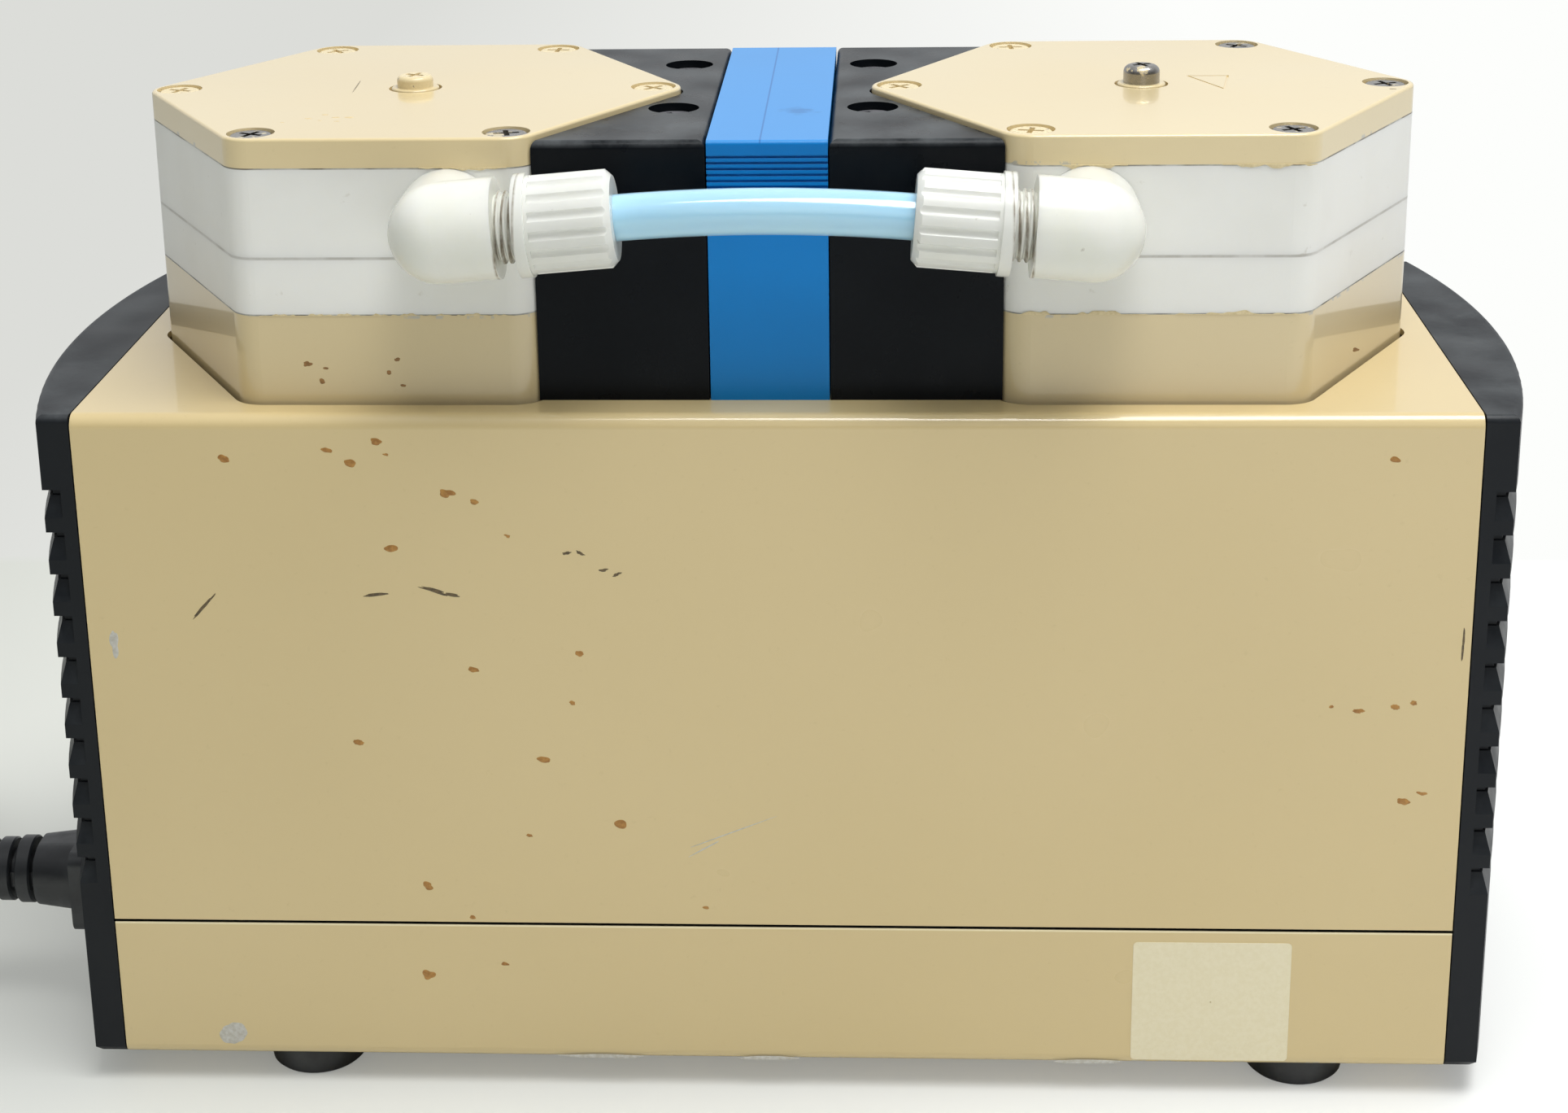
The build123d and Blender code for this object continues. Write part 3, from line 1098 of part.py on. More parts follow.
def terminal_block():
    """Four-way terminal block on the tray floor, with its clamping-screw wells."""
    pitch = 9.0
    ways = 4
    length = pitch * ways
    start = CAPACITOR_Y - length / 2
    block = box((TERMINAL_BLOCK_X - TERMINAL_BLOCK_HALF_WIDTH, TERMINAL_BLOCK_X + TERMINAL_BLOCK_HALF_WIDTH), (start, start + length), (TRAY_FLOOR, TRAY_FLOOR + 9))
    block += box((TERMINAL_BLOCK_X - 5, TERMINAL_BLOCK_X + 5), (start, start + length), (TRAY_FLOOR, TRAY_FLOOR + 14))
    for k in range(ways):
        y = start + (k + 0.5) * pitch
        block -= rod_x(2.0, TERMINAL_BLOCK_X - 12, TERMINAL_BLOCK_X + 12, y, TRAY_FLOOR + 5)
        block -= rod_z(2.2, TRAY_FLOOR + 8, TRAY_FLOOR + 15, TERMINAL_BLOCK_X, y)
    return block


def inlet_pin_boxes(grow):
    """The three blades of the mains inlet, thickened by a clearance."""
    back = INLET_FACE_X - INLET_FLANGE_THICKNESS + INLET_CAVITY_DEPTH
    boxes = []
    for k, lift in ((-1, -1.0), (0, 1.0), (1, -1.0)):
        y, z = INLET_Y + k * PIN_SPACING, INLET_Z + lift
        boxes.append(frame_box(y, z, PIN_THICKNESS + 2 * grow, PIN_WIDTH + 2 * grow,
                               (back - PIN_LENGTH - grow, back + PIN_LENGTH + 4)))
    return boxes


def mains_inlet():
    """Moulded inlet: flange on the cap, body behind it and the socket well."""
    front = INLET_FACE_X - INLET_FLANGE_THICKNESS
    flange_size = (INLET_WIDTH + 2 * INLET_FLANGE, INLET_HEIGHT + 2 * INLET_FLANGE)
    inlet = frame_box(INLET_Y, INLET_Z, *flange_size, (front, INLET_FACE_X))
    inlet = fillet(inlet.edges().filter_by(Axis.X), 2.0)
    inlet += frame_box(INLET_Y, INLET_Z, INLET_WIDTH, INLET_HEIGHT, (INLET_FACE_X, INLET_FACE_X + INLET_DEPTH))
    inlet -= frame_box(INLET_Y, INLET_Z, INLET_CAVITY_WIDTH, INLET_CAVITY_HEIGHT,
                       (front - 1, front + INLET_CAVITY_DEPTH))
    return inlet - inlet_pin_boxes(PRESS_CLEARANCE)


def inlet_pins():
    """Three blades through the inlet's back wall."""
    return group(inlet_pin_boxes(0))


def switch_pivot_x():
    """X of the rocker's hinge axis."""
    return SWITCH_FACE_X + 1.0


def switch_housing():
    """Switch bezel and body with the rocker's well and pivot holes."""
    front = SWITCH_FACE_X - SWITCH_BEZEL
    size = (SWITCH_WIDTH + 2 * INLET_FLANGE, SWITCH_HEIGHT + 2 * INLET_FLANGE)
    housing = frame_box(SWITCH_Y, SWITCH_Z, *size, (front, SWITCH_FACE_X))
    housing = fillet(housing.edges().filter_by(Axis.X), 1.6)
    housing += frame_box(SWITCH_Y, SWITCH_Z, SWITCH_WIDTH, SWITCH_HEIGHT, (SWITCH_FACE_X, SWITCH_FACE_X + SWITCH_DEPTH))
    well = (ROCKER_LENGTH + 4 * ROCKER_GAP, SWITCH_HEIGHT - 3.2)
    housing -= frame_box(SWITCH_Y, SWITCH_Z, *well, (front - 1, SWITCH_FACE_X + SWITCH_DEPTH - 5))
    pivot = 1.2 + RUNNING_CLEARANCE
    return housing - rod_z(pivot, SWITCH_Z - SWITCH_HEIGHT / 2 + 0.4, SWITCH_Z + SWITCH_HEIGHT / 2 - 0.4,
                           switch_pivot_x(), SWITCH_Y)


def rocker_switch():
    """Rocker with a shallow valley across its middle, tilted to its off position."""
    half = ROCKER_LENGTH / 2
    rise = 4.6
    valley = rise - half * tan(radians(ROCKER_TILT))
    profile = Polyline((-rise, -half), (-valley, 0), (-rise, half), (0, half), (5, 3), (5, -3), (0, -half), close=True)
    thickness = SWITCH_HEIGHT - 3.2 - 2 * ROCKER_GAP
    rocker = Pos(0, 0, -thickness / 2) * extrude(make_face(profile), thickness)
    pin_reach = SWITCH_HEIGHT / 2 - 0.6
    rocker += rod_z(1.2, -pin_reach, pin_reach)
    return Pos(switch_pivot_x(), SWITCH_Y, SWITCH_Z) * Rot(0, 0, -ROCKER_TILT) * rocker


# ======== mains cord ========
def boot_end():
    """X where the cord leaves the connector's strain relief."""
    return CONNECTOR_BACK_X - BOOT_RINGS * BOOT_PITCH - BOOT_TAIL


def mains_connector():
    """Moulded connector in the inlet: square collar, rounded tapering grip and a ringed strain relief."""
    front = INLET_FACE_X - INLET_FLANGE_THICKNESS
    nose_end = front + INLET_CAVITY_DEPTH - PLUG_IN_CLEARANCE
    shoulder = INLET_FACE_X - CONNECTOR_COLLAR_LENGTH
    collar = frame_box(INLET_Y, INLET_Z, CONNECTOR_BODY_WIDTH, CONNECTOR_BODY_HEIGHT,
                       (shoulder, front - PLUG_IN_CLEARANCE))
    collar = fillet(collar.edges().filter_by(Axis.X), 3.0)
    nose = frame_box(INLET_Y, INLET_Z, INLET_CAVITY_WIDTH - 2 * PLUG_IN_CLEARANCE,
                     INLET_CAVITY_HEIGHT - 2 * PLUG_IN_CLEARANCE, (front - 2, nose_end))
    body = collar + connector_grip(shoulder) + nose - inlet_pin_boxes(PLUG_IN_CLEARANCE)
    return body + strain_relief()


def connector_grip(shoulder):
    """Tapering grip between the collar and the strain relief, rounded to near an oval."""
    sections = []
    for x, width, height in ((shoulder + 1, CONNECTOR_SHOULDER_WIDTH, CONNECTOR_SHOULDER_HEIGHT),
                             (CONNECTOR_BACK_X, CONNECTOR_BACK_WIDTH, CONNECTOR_BACK_HEIGHT)):
        plane = Plane(origin=(x, INLET_Y, INLET_Z), x_dir=(0, 1, 0), z_dir=(1, 0, 0))
        sections.append(plane * RectangleRounded(width, height, 0.46 * height))
    return loft(sections)


def strain_relief():
    """Rings on a core round the cord, tied together by one web on each side."""
    points = [(0, 0), (0, BOOT_CORE_RADIUS)]
    for k in range(BOOT_RINGS):
        x = (k + 1) * BOOT_PITCH - BOOT_RING_WIDTH
        ring = BOOT_RADIUS - BOOT_TAPER * k
        points += [(x, BOOT_CORE_RADIUS), (x, ring - 0.4), (x + 0.4, ring), (x + BOOT_RING_WIDTH - 0.4, ring),
                   (x + BOOT_RING_WIDTH, ring - 0.4), (x + BOOT_RING_WIDTH, BOOT_CORE_RADIUS)]
    length = CONNECTOR_BACK_X - boot_end()
    points += [(length, CORD_DIAMETER / 2), (length, 0)]
    boot = Pos(CONNECTOR_BACK_X, INLET_Y, INLET_Z) * Rot(0, 0, 180) * turned_x(points)
    reach = BOOT_RADIUS - BOOT_TAPER * BOOT_RINGS
    rings_end = CONNECTOR_BACK_X - BOOT_RINGS * BOOT_PITCH
    half = BOOT_WEB_HEIGHT / 2
    return boot + box((rings_end, CONNECTOR_BACK_X), (INLET_Y - reach, INLET_Y + reach), (INLET_Z - half, INLET_Z + half))


def coil_layer_z(layer):
    """Height of the cord's middle in one layer of the coil."""
    return COIL_BOTTOM + (layer + 0.5) * CORD_DIAMETER


def cord_route():
    """The cord's way from the strain relief down to the bench and round into the coil."""
    entry_x = COIL_CENTRE[0] - COIL_MEAN_RADIUS - CORD_DIAMETER / 2
    floor = CORD_DIAMETER / 2 + 0.1
    return [(boot_end(), INLET_Y, INLET_Z), (-235, INLET_Y, INLET_Z), (-256, -26.5, 30.5), (-277, -20.5, 19),
            (-297, -7, 8), (-309.5, 12.5, floor), (entry_x, 33, coil_layer_z(0) - 0.2), (entry_x, 45, coil_layer_z(0))]


def corner_radii(points):
    """The largest bend that each corner of a route has room for."""
    radii = []
    for before, here, after in zip(points, points[1:], points[2:]):
        a, b = Vector(*here) - Vector(*before), Vector(*after) - Vector(*here)
        turn = radians(a.get_angle(b))
        radii.append(0.45 * min(a.length, b.length) / tan(turn / 2))
    return radii


def cord_tube(points):
    """Round tube along straight runs joined by tangent arcs."""
    radii = corner_radii(points)
    print("bend radii", [round(r, 1) for r in radii])
    path = FilletPolyline(*points, radius=radii)
    section = Plane(origin=points[0], z_dir=Vector(*points[1]) - Vector(*points[0])) * Circle(CORD_DIAMETER / 2)
    tube = sweep(section, path=path)
    expected = pi * (CORD_DIAMETER / 2) ** 2 * path.length
    print("cord length", round(path.length, 1), "volume ratio", round(tube.volume / expected, 4))
    return tube


def cord_coil():
    """Outer shape of the wound cord."""
    half = COIL_COLUMNS * CORD_DIAMETER / 2
    height = COIL_LAYERS * CORD_DIAMETER
    x, y = COIL_CENTRE
    ring = rod_z(COIL_MEAN_RADIUS + half, COIL_BOTTOM, COIL_BOTTOM + height, x, y)
    return ring - rod_z(COIL_MEAN_RADIUS - half, COIL_BOTTOM - 1, COIL_BOTTOM + height + 1, x, y)


def cord_tie():
    """Flat strap round the coil's turns."""
    width = COIL_COLUMNS * CORD_DIAMETER + 2 * TIE_SIDE_GAP
    height = COIL_LAYERS * CORD_DIAMETER + 2 * TIE_GAP
    middle = COIL_BOTTOM + COIL_LAYERS * CORD_DIAMETER / 2
    outer = Box(width + 2 * TIE_THICKNESS, TIE_WIDTH, height + 2 * TIE_THICKNESS)
    outer = fillet(outer.edges().filter_by(Axis.Y), 1.5)
    strap = outer - Box(width, TIE_WIDTH + 2, height)
    x, y = COIL_CENTRE
    return Pos(x, y, middle) * Rot(0, 0, TIE_ANGLE) * Pos(COIL_MEAN_RADIUS, 0, 0) * strap


def tail_points():
    """The short straight run from the coil to the plug."""
    x = COIL_CENTRE[0] - COIL_MEAN_RADIUS - CORD_DIAMETER / 2
    z = coil_layer_z(1)
    return Vector(x, COIL_CENTRE[1], z), Vector(x, COIL_CENTRE[1] + TAIL_LENGTH, z)


def mains_cord():
    """The cord's run from the connector to the coil, and its straight end between the coil and the plug."""
    start, end = tail_points()
    return group([cord_tube(cord_route()), rod_y(CORD_DIAMETER / 2, start.Y, end.Y, start.X, start.Z)])


def mains_plug():
    """Moulded three-pin plug lying beside the coil, with a tapered strain relief."""
    x, y, z = tail_points()[1]
    boot = turned_x([(0, 0), (0, CORD_DIAMETER / 2), (3, CORD_DIAMETER / 2 + 1.2), (PLUG_BOOT + 1, PLUG_NECK), (PLUG_BOOT + 1, 0)])
    lower, upper = PLUG_BOOT, PLUG_BOOT + PLUG_LENGTH
    back = Plane((lower, 0, 0), z_dir=(1, 0, 0)) * RectangleRounded(2 * PLUG_NECK, 2 * PLUG_NECK, 5)
    front = Plane((upper - 8, 0, 0), z_dir=(1, 0, 0)) * RectangleRounded(PLUG_HEIGHT, PLUG_WIDTH, 5)
    face = Plane((upper, 0, 0), z_dir=(1, 0, 0)) * RectangleRounded(PLUG_HEIGHT, PLUG_WIDTH, 5)
    body = loft([back, front]) + loft([front, face])
    plug = boot + body
    for side in (-1, 1):
        plug += box((upper - 2, upper + 16), (side * 6.35 - 0.75, side * 6.35 + 0.75), (-3.2, 3.2))
    plug += rod_x(2.4, upper - 2, upper + 19, 0, 6.5)
    return Pos(x, y, z) * Rot(0, 0, 90) * plug


# ======== whole pump ========
def centre_screws():
    """Both centre screws; the left one is driven deeper."""
    return [centre_screw(CENTRE_SCREW_PROUD_RIGHT), mirrored(centre_screw(CENTRE_SCREW_PROUD_LEFT))]


def pair(name, right, left=None):
    """Right and left pieces, the left one a mirror of the right unless it is given."""
    return {name + "_left": mirrored(right) if left is None else left, name + "_right": right}


def both_sides(shape):
    """A shape and its mirror image as one sub-part."""
    return group(shape.solids() + mirrored(shape).solids())


def case_pieces():
    """Case, feet, electrics and everything else that is fixed to the case."""
    return {
        "base_tray": base_tray(), "top_cover": top_cover(), "left_side_cap": left_cap(), "right_side_cap": side_cap(),
        "case_screws": group(list(cap_screws(-1)) + list(cap_screws(1)) + list(centre_cover_screws())),
        "underside_bolts": group(list(foot_screws()) + list(buffer_bolts())),
        "rubber_feet": rubber_feet(), "rubber_buffers": rubber_buffers(), "grip_strip": grip_strip(),
        "run_capacitor": run_capacitor(), "capacitor_clip": capacitor_clip(), "terminal_block": terminal_block(),
        "mains_inlet": mains_inlet(), "inlet_pins": inlet_pins(), "switch_housing": switch_housing(),
        "rocker_switch": rocker_switch(),
    } | pair("centre_cover", centre_cover())


def cord_pieces():
    """The mains cord with its connector, coil, tie and plug."""
    return {
        "mains_connector": mains_connector(), "mains_cord": mains_cord(), "cord_coil": cord_coil(),
        "cord_tie": cord_tie(), "mains_plug": mains_plug(),
    }


def drive_pieces():
    """Motor, crankcases, crank, connecting rods and diaphragms."""
    parts = {
        "stator_core": stator_core(), "stator_windings": stator_windings(), "rotor": rotor(),
        "motor_shaft": motor_shaft(), "shaft_bearings": shaft_bearings(), "motor_tie_bolts": motor_tie_bolts(),
        "fans": both_sides(fan()),
    }
    parts |= pair("crankcase", crankcase())
    makers = {"eccentric": eccentric, "rod_bearing": rod_bearing, "connecting_rod": connecting_rod,
              "diaphragm": diaphragm, "clamp_disc": clamp_disc}
    for name, maker in makers.items():
        parts |= pair(name, maker(-CRANK_THROW), mirrored(maker(CRANK_THROW)))
    return parts


def head_pieces():
    """Pump heads with their valves, screws and fittings."""
    outer_valve, inner_valve = valve_disc(0), valve_disc(1)
    lift = Pos(0, 0, VALVE_LIFT)
    parts = {
        "inlet_valve_left": lift * mirrored(inner_valve), "outlet_valve_left": mirrored(outer_valve),
        "inlet_valve_right": lift * outer_valve, "outlet_valve_right": inner_valve,
        "head_screws": group(list(both_sides(head_screws())) + centre_screws()),
        "centre_bushes": both_sides(centre_bush()),
        "front_elbows": both_sides(front_elbow()), "union_nuts": both_sides(union_nut()),
        "ferrules": both_sides(ferrule()), "connecting_tube": connecting_tube(),
        "inlet_nozzle": mirrored(hose_nozzle()), "outlet_nozzle": hose_nozzle(),
    }
    parts |= pair("intermediate_plate", intermediate_plate())
    parts |= pair("head_lid", head_lid())
    return parts | pair("pressure_plate", pressure_plate() - flow_mark(), mirrored(pressure_plate()))


def main():
    """Writes every sub-part to its own file."""
    parts = case_pieces() | cord_pieces() | drive_pieces() | head_pieces()
    os.makedirs("parts", exist_ok=True)
    for name, shape in parts.items():
        export_step(shape, os.path.join("parts", name + ".step"))
    print(len(parts), "parts")


main()
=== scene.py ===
"""Finishes and fine detail for a bench-top diaphragm vacuum pump with two heads.

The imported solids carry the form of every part. This script gives each of them its finish, lays the
mains lead as one flexible cord, adds what is too thin for the solids (the blank label, paint wear,
peeling paint lips, thread grime) and sets the camera, floor and light.
"""

import logging
import math
from dataclasses import dataclass, field
from enum import Enum
from typing import Any

import bpy
import numpy as np
from mathutils import Matrix, Vector


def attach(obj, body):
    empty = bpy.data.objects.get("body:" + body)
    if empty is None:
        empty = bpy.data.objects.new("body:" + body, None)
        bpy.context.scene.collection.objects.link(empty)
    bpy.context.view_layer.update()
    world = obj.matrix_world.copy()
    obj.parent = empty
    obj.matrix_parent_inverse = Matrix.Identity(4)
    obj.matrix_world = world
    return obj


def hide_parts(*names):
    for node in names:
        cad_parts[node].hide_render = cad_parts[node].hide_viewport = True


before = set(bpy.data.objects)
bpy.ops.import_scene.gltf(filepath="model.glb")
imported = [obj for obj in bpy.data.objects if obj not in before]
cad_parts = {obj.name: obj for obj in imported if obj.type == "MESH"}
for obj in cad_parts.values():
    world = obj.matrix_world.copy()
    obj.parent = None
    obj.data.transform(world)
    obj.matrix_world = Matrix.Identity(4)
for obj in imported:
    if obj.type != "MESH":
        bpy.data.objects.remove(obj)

LOG = logging.getLogger("vacuum_pump")
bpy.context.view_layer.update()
MM = 0.001

Node = bpy.types.Node
Socket = bpy.types.NodeSocket
Material = bpy.types.Material
Object = bpy.types.Object


def srgb(code: str) -> tuple[float, float, float, float]:
    """Turns an sRGB hex value into linear light.

    Args:
        code: Six hex digits, with or without a leading hash.

    Returns:
        Linear red, green and blue, and full opacity.
    """
    digits = code.lstrip("#")
    values = [int(digits[i : i + 2], 16) / 255 for i in (0, 2, 4)]
    linear = [v / 12.92 if v <= 0.04045 else ((v + 0.055) / 1.055) ** 2.4 for v in values]
    return (linear[0], linear[1], linear[2], 1.0)


class Graph:
    """A material's node tree while it is being built."""

    def __init__(self, name: str, tree: Any = None) -> None:
        """Starts an empty tree for a material of that name, or empties the given tree."""
        if tree is None:
            self.material = bpy.data.materials.new(name)
            self.material.use_nodes = True
            tree = self.material.node_tree
        self.tree = tree
        self.tree.nodes.clear()

    def add(self, kind: str, inputs: dict[Any, Any] | None = None, **settings: Any) -> Node:
        """Adds one node with its settings and links.

        Args:
            kind: Blender's node type, without its ShaderNode prefix.
            inputs: Socket name or index to a value, or to the socket that feeds it.
            **settings: Attributes of the node.

        Returns:
            The new node.
        """
        node = self.tree.nodes.new("ShaderNode" + kind)
        for key, value in settings.items():
            setattr(node, key, value)
        for key, value in (inputs or {}).items():
            if isinstance(value, Socket):
                self.tree.links.new(value, node.inputs[key])
            else:
                node.inputs[key].default_value = value
        return node

    def place(self) -> Socket:
        """Object coordinates, which on this pump are metres from the bench under its middle."""
        return self.add("TexCoord").outputs["Object"]

    def axis(self, letter: str) -> Socket:
        """One coordinate of the place, in metres."""
        return self.add("SeparateXYZ", {0: self.place()}).outputs[letter]

    def math(self, operation: str, first: Any, second: Any = 0.0, clamp: bool = False) -> Socket:
        """One sum on two values or sockets."""
        node = self.add("Math", {0: first, 1: second}, operation=operation, use_clamp=clamp)
        return node.outputs[0]

    def noise(self, size_mm: float, detail: float = 2.0, rough: float = 0.5,
              stretch: tuple[float, float, float] = (1, 1, 1)) -> Socket:
        """Smooth noise whose lumps are about size_mm across, 0 to 1 about a half."""
        scaled = self.add("Mapping", {"Vector": self.place(), "Scale": stretch}).outputs[0]
        values = {"Vector": scaled, "Scale": 1 / (size_mm * MM), "Detail": detail, "Roughness": rough}
        return self.add("TexNoise", values).outputs["Fac"]

    def ramp(self, value: Any, low: float, high: float,
             out_low: float = 0.0, out_high: float = 1.0) -> Socket:
        """Straight slope from out_low at low to out_high at high, clamped outside."""
        values = {"Value": value, "From Min": low, "From Max": high,
                  "To Min": out_low, "To Max": out_high}
        return self.add("MapRange", values, clamp=True).outputs[0]

    def mix(self, share: Any, first: Any, second: Any) -> Socket:
        """Blend of two colours."""
        return self.add("MixRGB", {0: share, 1: first, 2: second}).outputs[0]

    def band(self, letter: str, middle: float, half: float) -> Socket:
        """One within half of a place on an axis, in metres, and falling to 0 over the same length."""
        gap = self.math("ABSOLUTE", self.math("SUBTRACT", self.axis(letter), middle))
        return self.ramp(gap, half, 2 * half, 1.0, 0.0)

    def bump(self, height: Socket, depth_mm: float, strength: float) -> Socket:
        """Normal bent by a height of 0 to 1 that is depth_mm deep."""
        values = {"Height": height, "Distance": depth_mm * MM, "Strength": strength}
        return self.add("Bump", values).outputs[0]

    def upward(self) -> Socket:
        """How far the surface faces up: 1 on top, 0 on a wall, -1 below."""
        return self.add("SeparateXYZ", {0: self.add("NewGeometry").outputs["Normal"]}).outputs["Z"]

    def finish(self, inputs: dict[Any, Any]) -> Material:
        """Closes the tree with one surface shader.

        Args:
            inputs: Sockets of the surface shader.

        Returns:
            The finished material.
        """
        shader = self.add("BsdfPrincipled", inputs)
        self.add("OutputMaterial", {"Surface": shader.outputs[0]})
        return self.material


# ======== finishes ========
@dataclass(frozen=True)
class StovedEnamel:
    """Stoving enamel on sheet steel or cast aluminium: even colour, soft gloss, faint orange peel."""

    name: str
    colour: str = "#D6C18F"
    shade: str = "#CFBA87"
    primer: str = "#B9B4A6"
    chip_heights: tuple[float, ...] = ()
    chip_half_mm: float = 0.7
    seam: tuple[float, float] | None = None
    skin_y: float = 63.8
    # painted highlight: colour of the pale band along the tray's top edge
    edge_highlight: str = "#FFF6D2"
    # painted shade: near-black colour laid in the seam between tray and cover
    dirt_and_seam_shade: str = "#0C0A08"
    roughness: float = 0.3

    def build(self) -> Material:
        """Enamel whose tone drifts over decimetres, with primer where chips run along an edge."""
        graph = Graph(self.name)
        drift = graph.ramp(graph.noise(120, 1), 0.25, 0.75)
        colour = graph.mix(drift, srgb(self.colour), srgb(self.shade))
        grime = graph.ramp(graph.noise(2.2, 4, 0.7), 0.62, 0.78, 0.0, 0.10)
        colour = graph.mix(grime, colour, srgb("#8A7448"))
        rough = graph.ramp(graph.noise(25, 1), 0.2, 0.8, self.roughness - 0.03, self.roughness + 0.04)
        for height in self.chip_heights:
            ragged = graph.ramp(graph.noise(3.2, 5, 0.62, (1, 1, 0.6)), 0.56, 0.58)
            long = graph.ramp(graph.noise(34, 1), 0.50, 0.56)
            edge = graph.band("Z", height * MM, self.chip_half_mm * MM)
            chipped = graph.math("MULTIPLY", graph.math("MULTIPLY", ragged, long), edge, True)
            colour = graph.mix(chipped, colour, srgb(self.primer))
        if self.seam is not None:
            # painted shade in the seam and a painted highlight just under it
            colour = self.paint_seam_shade_and_edge_highlight(graph, colour)
        peel = graph.bump(graph.noise(1.6, 2), 0.012, 0.5)
        return graph.finish({
            "Base Color": colour, "Roughness": rough, "Normal": peel,
            "Coat Weight": 0.7, "Coat Roughness": 0.05, "IOR": 1.45,
        })

    def paint_seam_shade_and_edge_highlight(self, graph: Graph, colour: Socket) -> Socket:
        """Painted shade: near black in the seam between tray and cover, on faces behind the front skin;
        painted highlight: a pale band along the tray's top edge just under it.
        """
        low, high = (height * MM for height in self.seam)
        level = graph.axis("Z")
        inside = graph.ramp(graph.math("ABSOLUTE", graph.axis("Y")),
                            self.skin_y * MM, (self.skin_y - 0.3) * MM)
        between = graph.math("MULTIPLY", graph.ramp(level, low - 2 * MM, low - 1.5 * MM),
                             graph.ramp(level, high + 1.5 * MM, high + 2 * MM, 1.0, 0.0))
        # painted highlight: a band half a millimetre high just under the seam
        edge_highlight = graph.math("MULTIPLY", graph.ramp(level, low - 0.5 * MM, low - 0.1 * MM),
                            graph.ramp(level, low, low + 0.1 * MM, 1.0, 0.0))
        colour = graph.mix(graph.math("MULTIPLY", edge_highlight, 0.7), colour, srgb(self.edge_highlight))
        # painted shade: near black inside the seam, behind the front skin
        return graph.mix(graph.math("MULTIPLY", between, inside), colour, srgb(self.dirt_and_seam_shade))


@dataclass(frozen=True)
class MachinedPtfe:
    """Skived and machined PTFE block: waxy white that light sinks into, grime at its joints."""

    name: str
    joints: tuple[tuple[float, str], ...] = ()
    colour: str = "#EDEDE8"
    cloud: str = "#DEDDD5"
    speck: str = "#B9B2A0"
    line_half_mm: float = 0.2

    def build(self) -> Material:
        """White with soft grey clouds, fine turning marks and a thin dark line at each joint height."""
        graph = Graph(self.name)
        clouds = graph.ramp(graph.noise(30, 3), 0.4, 0.7, 0.0, 0.35)
        colour = graph.mix(clouds, srgb(self.colour), srgb(self.cloud))
        specks = graph.ramp(graph.noise(4.5, 3, 0.6), 0.70, 0.76, 0.0, 0.35)
        colour = graph.mix(specks, colour, srgb(self.speck))
        for height, dirt_and_seam_shade in self.joints:
            line = graph.band("Z", height * MM, self.line_half_mm * MM)
            ragged = graph.ramp(graph.noise(9, 4, 0.6), 0.36, 0.6, 0.35, 0.95)
            colour = graph.mix(graph.math("MULTIPLY", line, ragged), colour, srgb(dirt_and_seam_shade))
        marks = graph.bump(graph.noise(0.9, 2, 0.5, (1, 1, 3)), 0.02, 0.35)
        return graph.finish({
            "Base Color": colour, "Roughness": 0.42, "Normal": marks, "IOR": 1.35,
            "Subsurface Weight": 0.35, "Subsurface Radius": (1.0, 0.95, 0.85), "Subsurface Scale": 0.004,
        })


class Grain(Enum):
    """Surface of a moulded plastic, as the size of its grain in millimetres."""

    SPARK = 0.7
    FINE = 0.45
    POLISHED = 2.5


@dataclass(frozen=True)
class MouldedPlastic:
    """Injection-moulded ABS: coloured through, spark-eroded grain; faces that point up are greyed, partly a
    real dusting and partly a painted sheen of the overhead light.
    """

    name: str
    colour: str
    grain: Grain = Grain.SPARK
    roughness: float = 0.42
    dust_and_sheen: float = 0.25
    dust_and_sheen_colour: str = "#7A7C7C"
    shine: float = 0.5

    def build(self) -> Material:
        """Even colour greyed in proportion to how far a face points up (a dusting and a painted sheen), and
        grain as a fine bump.
        """
        graph = Graph(self.name)
        up = graph.upward()
        patches = graph.ramp(graph.noise(14, 5, 0.65), 0.35, 0.75)
        # painted sheen, partly a real dusting: faces that point up are mixed in patches towards grey
        dust_and_sheen_share = graph.math("MULTIPLY", graph.ramp(up, 0.1, 0.9, 0.02, self.dust_and_sheen), patches)
        colour = graph.mix(dust_and_sheen_share, srgb(self.colour), srgb(self.dust_and_sheen_colour))
        rough = graph.ramp(graph.noise(7, 4), 0.3, 0.7, self.roughness - 0.06, self.roughness + 0.1)
        grain = graph.bump(graph.noise(self.grain.value, 2), 0.03, 0.35)
        return graph.finish({"Base Color": colour, "Roughness": rough, "Normal": grain, "IOR": 1.3,
                             "Specular IOR Level": self.shine})


